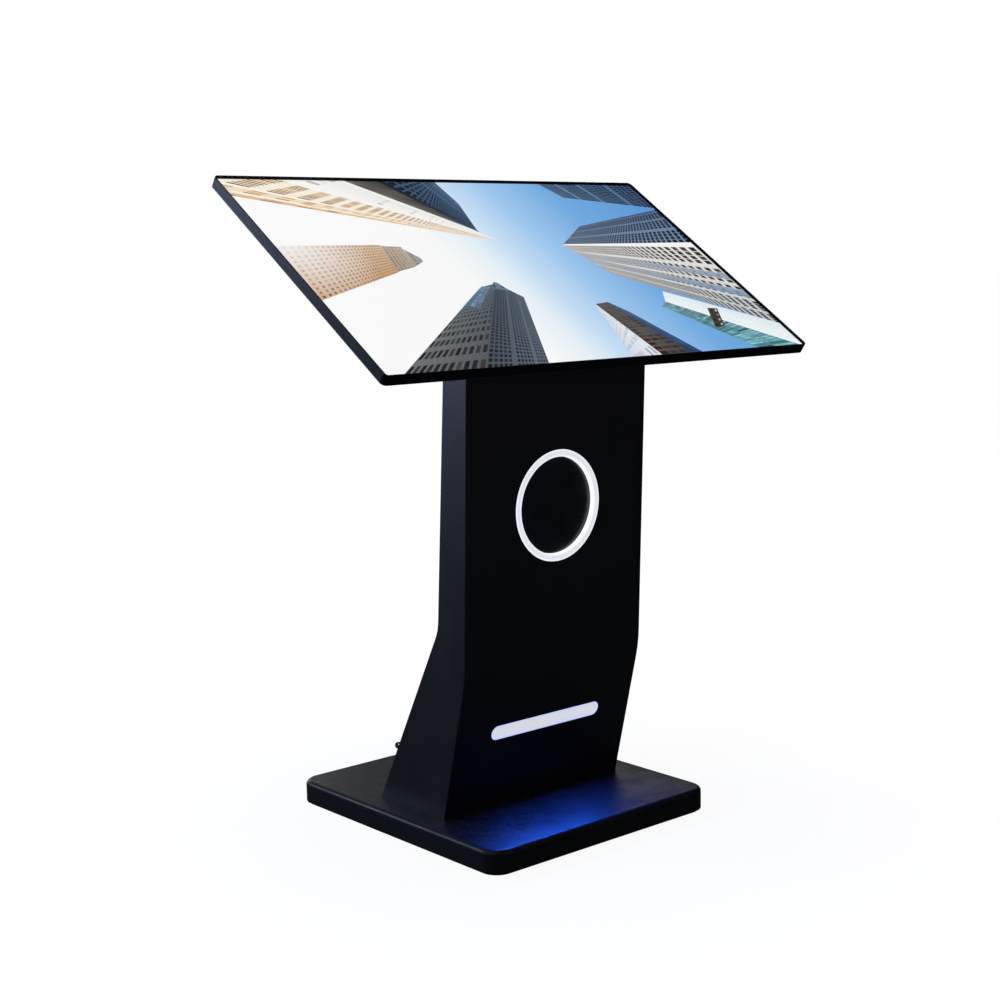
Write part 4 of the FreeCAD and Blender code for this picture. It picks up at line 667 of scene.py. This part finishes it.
# %% Light the panel
PANEL_STRENGTH = 1.06
wire(picture, colour, picture_shader, "Emission Color")
picture_shader.inputs["Emission Strength"].default_value = PANEL_STRENGTH
wire(picture, spread(picture, noise(picture, 900.0), 0.3, 0.4), picture_shader, "Roughness")
dress(["lcd_cell"], picture_material)

# %% [markdown]
# ## The lit ring, its dark disc and the lit bar
#
# Both lights are opal acrylic over a row of lamps. Opal plastic scatters the lamps almost evenly, and a
# faint beat of them remains. The ring is a shade greyer along its middle line than at its edges, and the
# bar turns blue towards its outline. Both are worked out from the distance to the middle line. The disc
# inside the ring is tinted acrylic with a soft gloss, so it mirrors its surroundings dimly.

# %% Opal plastic with lamps behind it
ring_low, ring_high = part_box("ring_diffuser")
ring_middle = (ring_low + ring_high) / 2
RING_SEAT, RING_BAND = 8 * MM, 12 * MM
RING_OUTER = (ring_high.x - ring_low.x) / 2 - RING_SEAT
RING_INNER = RING_OUTER - RING_BAND
bar_low, bar_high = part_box("bar_diffuser")
bar_middle = (bar_low + bar_high) / 2
BAR_SEAT = 7 * MM
EDGE_POWER, BEAT_SHARE = 2.5, 0.4
BAR_WIDE = bar_high.z - bar_low.z - 2 * BAR_SEAT
BAR_STRAIGHT = bar_high.x - bar_low.x - 2 * BAR_SEAT - BAR_WIDE
print("ring radii in mm", round(RING_INNER / MM, 1), round(RING_OUTER / MM, 1))
print("bar height in mm", round(BAR_WIDE / MM, 1))


def opal(name, edge_share, middle, edge, lamp_scale):
    """Lit plastic that goes from one colour on its middle line to another at its edges."""
    material, tree, shader = new_finish(name, (0.8, 0.82, 0.85), 0.45, specular=0.5)
    share = edge_share(tree)
    beat = spread(tree, noise(tree, lamp_scale, detail=1.0), 0.0, 0.25)
    lift = maths(tree, "POWER", share, EDGE_POWER)
    lift = maths(tree, "ADD", lift, maths(tree, "MULTIPLY", beat, BEAT_SHARE))
    wire(tree, blend_colours(tree, lift, middle, edge), shader, "Emission Color")
    shader.inputs["Emission Strength"].default_value = 1.0
    wire(tree, spread(tree, noise(tree, 300.0), 0.4, 0.5), shader, "Roughness")
    return material


def away_from(tree, middle):
    """The surface's place, measured from a middle."""
    links = {0: object_points(tree), 1: tuple(middle)}
    return add(tree, "VectorMath", links, operation="SUBTRACT").outputs[0]


def ring_edge_share(tree):
    """0 on the ring's middle line, 1 at its inner and outer edge."""
    offset = away_from(tree, ring_middle)
    flat = add(tree, "VectorMath", {0: offset, 1: (1, 0, 1)}, operation="MULTIPLY").outputs[0]
    radius = add(tree, "VectorMath", {0: flat}, operation="LENGTH").outputs["Value"]
    from_line = maths(tree, "ABSOLUTE", maths(tree, "SUBTRACT", radius, (RING_OUTER + RING_INNER) / 2))
    return spread(tree, from_line, 0.0, 1.0, from_low=0.0, from_high=(RING_OUTER - RING_INNER) / 2)


def bar_edge_share(tree):
    """0 along the bar's middle line, 1 at its rounded outline."""
    parts = add(tree, "SeparateXYZ", {0: away_from(tree, bar_middle)}).outputs
    past_end = maths(tree, "SUBTRACT", maths(tree, "ABSOLUTE", parts["X"]), BAR_STRAIGHT / 2)
    past_end = maths(tree, "MAXIMUM", past_end, 0.0)
    squares = [maths(tree, "MULTIPLY", length, length) for length in (past_end, parts["Z"])]
    span = maths(tree, "SQRT", maths(tree, "ADD", *squares))
    return spread(tree, span, 0.0, 1.0, from_low=0.0, from_high=BAR_WIDE / 2)


def tinted_disc():
    dark, pale = (0.003, 0.005, 0.009), (0.006, 0.009, 0.016)
    material, tree, shader = new_finish("disc_tinted_acrylic", (0.004, 0.006, 0.010), 0.22, specular=0.5)
    swirl = noise(tree, 30.0, detail=5.0, roughness=0.6)
    wire(tree, blend_colours(tree, spread(tree, swirl, 0.0, 1.0), dark, pale), shader, "Base Color")
    wire(tree, spread(tree, swirl, 0.18, 0.30), shader, "Roughness")
    bump(tree, shader, noise(tree, 600.0), strength=0.05, distance=0.05 * MM)
    return material


RING_GREY, RING_WHITE = (0.66, 0.68, 0.73), (0.90, 0.93, 0.98)
BAR_GREY, BAR_BLUE = (0.64, 0.65, 0.655), (0.50, 0.60, 0.95)
dress(["ring_diffuser"], opal("opal_ring_lit", ring_edge_share, RING_GREY, RING_WHITE, lamp_scale=38.0))
dress(["bar_diffuser"], opal("opal_bar_lit", bar_edge_share, BAR_GREY, BAR_BLUE, lamp_scale=60.0))
dress(["ring_disc"], tinted_disc())

# %% [markdown]
# ## Bare and plated metal
#
# Inside, the brackets and beams are zinc-plated sheet: grey, with large faint crystals and a drift
# between blue and yellow, which cells of even colour give. The lock, the button, the hinges and the
# aluminium boxes show fine lines that run one way, so they share one helper with its own direction for
# each. The ballast is plain mill steel with dull rolling scale.

# %% Zinc, nickel, mill steel and aluminium
ZINC_GREY, ZINC_BRIGHT = (0.40, 0.42, 0.44), (0.52, 0.54, 0.56)
TO_YELLOW, TO_BLUE = (1.05, 1.0, 0.9), (0.86, 0.93, 1.0)


def zinc_plate(name, colour):
    material, tree, shader = new_finish(name, colour, 0.35, metallic=1.0)
    crystals = add(tree, "TexVoronoi", {"Vector": object_points(tree), "Scale": 140.0}).outputs["Color"]
    grey = add(tree, "RGBToBW", {0: crystals}).outputs[0]
    warm = tuple(c * f for c, f in zip(colour, TO_YELLOW))
    cold = tuple(c * f for c, f in zip(colour, TO_BLUE))
    share = spread(tree, grey, 0.0, 1.0, from_low=0.2, from_high=0.8)
    wire(tree, blend_colours(tree, share, cold, warm), shader, "Base Color")
    wire(tree, spread(tree, grey, 0.28, 0.48, from_low=0.2, from_high=0.8), shader, "Roughness")
    bump(tree, shader, noise(tree, 500.0, detail=3.0), strength=0.1, distance=0.05 * MM)
    return material


def mill_steel():
    dark, pale = (0.07, 0.068, 0.07), (0.17, 0.155, 0.14)
    material, tree, shader = new_finish("ballast_mill_steel", (0.12, 0.115, 0.11), 0.6, metallic=0.9)
    scale = noise(tree, 60.0, detail=8.0, roughness=0.7, stretch=(0.3, 1.0, 1.0))
    wire(tree, blend_colours(tree, spread(tree, scale, 0.0, 1.0), dark, pale), shader, "Base Color")
    wire(tree, spread(tree, scale, 0.45, 0.75), shader, "Roughness")
    bump(tree, shader, scale, strength=0.25, distance=0.2 * MM)
    return material


def brushed(name, colour, roughness, stretch, metallic):
    """Metal with fine lines along the direction whose stretch is small."""
    material, tree, shader = new_finish(name, colour, roughness, metallic=metallic)
    lines = noise(tree, 700.0, detail=3.0, stretch=stretch)
    dark = tuple(0.8 * c for c in colour)
    wire(tree, blend_colours(tree, spread(tree, lines, 0.0, 1.0), dark, colour), shader, "Base Color")
    wire(tree, spread(tree, lines, roughness - 0.07, roughness + 0.1), shader, "Roughness")
    bump(tree, shader, lines, strength=0.12, distance=0.04 * MM)
    return material


SHEET_PARTS = [
    "base_bottom_plate", "base_beam_left", "base_beam_right", "column_foot_plate", "column_top_plate",
    "equipment_plate", "lock_cam", "display_rails",
]
FASTENERS = ["base_screws", "column_bolts", "beam_nuts", "head_bolts", "rail_nuts", "lock_nut"]
HINGE_PARTS = ["hinge_frame_leaves", "hinge_door_leaves", "hinge_pins"]
dress(SHEET_PARTS, zinc_plate("zinc_sheet", ZINC_GREY))
dress(FASTENERS, zinc_plate("zinc_bright", ZINC_BRIGHT))
dress(["base_ballast"], mill_steel())

# Nodes, then the finish: its name, colour, roughness, stretch and how far it is metal.
BRUSHED_FINISHES = (
    (["lock_body", "lock_plug"], "nickel_turned", (0.62, 0.59, 0.54), 0.2, (1, 0.1, 1), 1.0),
    (["lock_key"], "key_black_bow", (0.020, 0.020, 0.022), 0.42, (0.1, 1, 1), 0.0),
    (["power_button"], "button_turned_steel", (0.5, 0.5, 0.52), 0.25, (1, 0.1, 0.1), 1.0),
    (["light_driver", "backlight_unit"], "aluminium_satin", (0.68, 0.69, 0.70), 0.35, (0.05, 1, 1), 1.0),
    (["media_player"], "player_black_anodised", (0.035, 0.036, 0.04), 0.38, (0.05, 1, 1), 0.6),
    (["inlet_pins"], "contact_nickel_brass", (0.72, 0.62, 0.36), 0.25, (1, 0.1, 1), 1.0),
    (HINGE_PARTS, "hinge_black_plate", (0.05, 0.05, 0.055), 0.35, (1, 0.2, 0.2), 0.8),
    (["head_screws"], "screw_black_oxide", (0.035, 0.035, 0.04), 0.4, (1, 1, 1), 0.7),
)
for names, *finish in BRUSHED_FINISHES:
    dress(names, brushed(*finish))

# %% [markdown]
# ## Plastic and rubber
#
# The switch's frame, the inlet, the fan and the speakers are moulded with a fine spark texture. It scatters
# light without being rough to the hand, so it is mostly bump. The rocker is smooth and glossy, and the
# housings behind the lights are white so that they reflect. Rubber is duller, with bloom: a pale greyish
# film that old rubber gets in patches.

# %% Moulded black plastic, white reflectors and rubber
def moulded(name, dark, pale, roughness, texture=1400.0, depth=0.06 * MM):
    material, tree, shader = new_finish(name, dark, roughness, specular=0.45)
    cloud = noise(tree, 35.0, detail=4.0)
    wire(tree, blend_colours(tree, spread(tree, cloud, 0.0, 1.0), dark, pale), shader, "Base Color")
    wire(tree, spread(tree, cloud, roughness - 0.05, roughness + 0.08), shader, "Roughness")
    bump(tree, shader, noise(tree, texture, detail=2.0), strength=0.3, distance=depth)
    return material


def rubber(name):
    black, film = (0.012, 0.012, 0.012), (0.04, 0.04, 0.038)
    material, tree, shader = new_finish(name, black, 0.75, specular=0.3)
    bloom = noise(tree, 25.0, detail=7.0, roughness=0.7)
    share = spread(tree, bloom, 0.0, 1.0, from_low=0.45, from_high=0.75)
    wire(tree, blend_colours(tree, share, black, film), shader, "Base Color")
    wire(tree, spread(tree, bloom, 0.65, 0.85), shader, "Roughness")
    bump(tree, shader, noise(tree, 900.0, detail=3.0), strength=0.35, distance=0.1 * MM)
    return material


SPARK_BLACK = moulded("plastic_black_spark", (0.012, 0.012, 0.013), (0.020, 0.020, 0.022), 0.5)
FAN_BLACK = moulded("plastic_fan", (0.014, 0.014, 0.015), (0.024, 0.024, 0.026), 0.55)
GLOSS_BLACK = moulded(
    "plastic_rocker_gloss", (0.010, 0.010, 0.011), (0.014, 0.014, 0.015), 0.2, depth=0.02 * MM)
REFLECTOR_WHITE = moulded("plastic_white_reflector", (0.78, 0.78, 0.76), (0.86, 0.86, 0.84), 0.5)
dress(["mains_inlet", "switch_frame", "speakers", "power_button_body"], SPARK_BLACK)
dress(["fan_frame", "fan_impeller"], FAN_BLACK)
dress(["switch_rocker"], GLOSS_BLACK)
dress(["ring_housing", "bar_housing"], REFLECTOR_WHITE)
dress(["base_pad", "cable_grommet"], rubber("rubber_black"))

# %% [markdown]
# ## Circuit boards and the braided cable
#
# The boards carry green or white solder mask with fine copper tracks under it, which a grid of bricks
# suggests well enough at this distance. The display's cable wears a braided sleeve: two sets of
# threads that cross on a slant.

# %% Solder mask and braid
def solder_mask(name, mask, track):
    material, tree, shader = new_finish(name, mask, 0.3, specular=0.5)
    grid = add(tree, "TexBrick", {"Vector": object_points(tree), "Scale": 90.0, "Mortar Size": 0.012})
    shares = maths(tree, "MULTIPLY", grid.outputs["Fac"], 0.7)
    shade = tuple(0.75 * c for c in mask)
    speckle = blend_colours(tree, spread(tree, noise(tree, 250.0, detail=3.0), 0.0, 1.0), mask, shade)
    wire(tree, blend_colours(tree, shares, speckle, track), shader, "Base Color")
    wire(tree, spread(tree, noise(tree, 120.0), 0.25, 0.45), shader, "Roughness")
    bump(tree, shader, grid.outputs["Fac"], strength=0.2, distance=0.05 * MM)
    return material


def braid():
    material, tree, shader = new_finish("cable_braid", (0.015, 0.015, 0.016), 0.55)
    threads = []
    for slant in (1.0, -1.0):
        links = {"Vector": object_points(tree, (1.0, 1.0, slant * 0.8)), "Scale": 620.0}
        wave = add(tree, "TexWave", links, wave_type="BANDS", bands_direction="DIAGONAL")
        threads.append(wave.outputs["Fac"])
    weave = maths(tree, "MAXIMUM", *threads)
    wire(tree, blend_colours(tree, weave, (0.006, 0.006, 0.007), (0.030, 0.030, 0.033)), shader, "Base Color")
    wire(tree, spread(tree, weave, 0.45, 0.65, from_low=0.0, from_high=1.0), shader, "Roughness")
    bump(tree, shader, weave, strength=0.5, distance=0.3 * MM)
    return material


BOARD_GREEN = solder_mask("board_green", mask=(0.02, 0.16, 0.06), track=(0.05, 0.28, 0.10))
BOARD_WHITE = solder_mask("board_white", mask=(0.74, 0.74, 0.70), track=(0.62, 0.62, 0.58))
dress(["display_power_board", "display_main_board"], BOARD_GREEN)
dress(["ring_led_board", "bar_led_board"], BOARD_WHITE)
dress(["display_harness"], braid())
bare = [
    name for name, node in nodes.items()
    if not node.data.materials or not node.data.materials[0].use_nodes]
print("nodes still without a finish:", bare)

# %% [markdown]
# ## Studio
#
# A plain pale floor and soft lamps. The kiosk is black, so its shape is told by what its coat mirrors. The
# strongest lamp, cool and behind it on the left, draws the side of the column. A weaker one on the left
# and a wide one overhead light the base and the rim of the display. The front gets only a faint fill, so
# that the ring and the bar can shine. A lamp behind the kiosk, low down, is there for views of the back.
# The floor isn't mirrored in the coat, which keeps the underside of the display black.

# %% Floor and world
FLOOR_REACH = 60.0
FLOOR_GAP = 0.5 * MM
FLOOR_NEAR, FLOOR_FAR = 0.35, 1.2
GLOW_NEAR, GLOW_FAR = 0.93, 1.0
SKYLIGHT, SKYLIGHT_STRENGTH = (0.80, 0.88, 1.0, 1), 0.045
WHITE_LIGHT = (1, 1, 1, 1)


def make_floor():
    """A floor that glows a little less near the kiosk, as if in its shade."""
    mesh = bpy.data.meshes.new("floor")
    level = cad_low.z - FLOOR_GAP
    corners = [(sx * FLOOR_REACH, sy * FLOOR_REACH, level) for sx, sy in ((-1, -1), (1, -1), (1, 1), (-1, 1))]
    mesh.from_pydata(corners, [], [(0, 1, 2, 3)])
    floor = bpy.data.objects.new("floor", mesh)
    bpy.context.scene.collection.objects.link(floor)
    material, tree, shader = new_finish("floor_pale", (0.12, 0.12, 0.12), 0.9, specular=0.0)
    away = add(tree, "VectorMath", {0: object_points(tree)}, operation="LENGTH").outputs["Value"]
    glow = spread(tree, away, GLOW_NEAR, GLOW_FAR, from_low=FLOOR_NEAR, from_high=FLOOR_FAR)
    wire(tree, glow, shader, "Emission Strength")
    shader.inputs["Emission Color"].default_value = WHITE_LIGHT
    wire(tree, spread(tree, noise(tree, 3.0), 0.86, 0.94), shader, "Roughness")
    mesh.materials.append(material)
    floor.visible_glossy = False
    floor.visible_diffuse = False


def make_world():
    """White where the camera sees it, and a faint blue skylight for everything else."""
    world = bpy.data.worlds.new("studio")
    bpy.context.scene.world = world
    world.use_nodes = True
    tree = world.node_tree
    tree.nodes.clear()
    seen = add(tree, "Background", {"Color": WHITE_LIGHT, "Strength": 1.0})
    ambient = add(tree, "Background", {"Color": SKYLIGHT, "Strength": SKYLIGHT_STRENGTH})
    ray = add(tree, "LightPath").outputs["Is Camera Ray"]
    mix = add(tree, "MixShader", {0: ray, 1: ambient.outputs[0], 2: seen.outputs[0]})
    out = add(tree, "OutputWorld")
    tree.links.new(mix.outputs[0], out.inputs["Surface"])


make_floor()
make_world()
print("floor of", 2 * FLOOR_REACH, "m, skylight of", SKYLIGHT_STRENGTH)

# %% Lamps
def lamp(name, place, target, size, power, colour=(1, 1, 1)):
    """A rectangular lamp of that size in metres and power in watts, turned towards its target."""
    light = bpy.data.lights.new(name, "AREA")
    light.shape = "RECTANGLE"
    light.size, light.size_y = size
    light.energy = power
    light.color = colour
    item = bpy.data.objects.new(name, light)
    item.location = place
    item.rotation_euler = (Vector(target) - Vector(place)).to_track_quat("-Z", "Y").to_euler()
    bpy.context.scene.collection.objects.link(item)
    print(name, power, "W")
    return item


lamp("lamp_left_back", (-2.5, 2.9, 1.55), (-0.2, 0, 0.8), (1.3, 1.1), 84, (0.56, 0.68, 1.0))
lamp("lamp_left", (-3.0, -0.6, 2.0), (0, 0, 0.9), (1.4, 1.2), 20, (0.72, 0.80, 1.0))
lamp("lamp_overhead", (0.0, 0.4, 4.0), (0, 0, 0), (4.0, 3.0), 24)
lamp("lamp_back_right", (2.8, 2.6, 1.6), (0, 0, 0.6), (1.4, 1.8), 6)
lamp("lamp_front_fill", (1.2, -4.0, 1.2), (0, 0, 0.5), (2.5, 1.5), 5, (0.92, 0.9, 1.0))
lamp("lamp_rear_fill", (0.9, 4.2, 0.7), (0, 0, 0.8), (2.6, 1.2), 38, (0.96, 0.97, 1.0))

# %% [markdown]
# ## The blue glow of the bar
#
# The bar's own surface is nearly white, but the pool of light under it on the base is blue. The pool is
# too strong to come from a white surface of that brightness, so a long thin blue lamp lies just in front
# of the bar. It faces outward and a little down, so the foot of the panel stays dark and the light falls
# on the base in front of it. The camera doesn't see the lamp itself.

# %% The blue lamp at the bar
BLUE = (0.015, 0.11, 1.0)
POOL_GAP = 6 * MM
POOL_AIM = Vector((0, -1, -0.22))
POOL_SIZE, POOL_POWER = (0.24, 0.02), 2.8
pool_place = Vector((0, bar_low.y - POOL_GAP, bar_middle.z))
pool = lamp("bar_pool", pool_place, pool_place + POOL_AIM, POOL_SIZE, POOL_POWER, BLUE)
pool.visible_camera = False

# %% [markdown]
# ## Camera
#
# The camera stands to the left of the user's place, a metre above the floor, and looks slightly down at
# the kiosk through a 61 mm lens. Its turn, its dip and its small roll are in radians.

# %% Place the camera
CAMERA_PLACE = Vector((-1.9661, -2.2769, 1.0059))
YAW, PITCH, ROLL = 0.7143, 0.1461, -0.016
SENSOR, LENS = 36.0, 61.475
camera_data = bpy.data.cameras.new("camera")
camera_data.sensor_width, camera_data.lens = SENSOR, LENS
camera_data.dof.use_dof = False
camera = bpy.data.objects.new("camera", camera_data)
bpy.context.scene.collection.objects.link(camera)
bpy.context.scene.camera = camera
ahead = Vector((math.sin(YAW) * math.cos(PITCH), math.cos(YAW) * math.cos(PITCH), -math.sin(PITCH)))
level = Vector((math.cos(YAW), -math.sin(YAW), 0))
above = level.cross(ahead)
right = level * math.cos(ROLL) + above * math.sin(ROLL)
top = above * math.cos(ROLL) - level * math.sin(ROLL)
camera.matrix_world = Matrix.Translation(CAMERA_PLACE) @ Matrix((right, top, -ahead)).transposed().to_4x4()
bpy.context.scene.view_settings.view_transform = "Standard"
bpy.context.scene.view_settings.look = "None"
print("camera at", tuple(round(v, 2) for v in CAMERA_PLACE), "with a lens of", LENS, "mm")
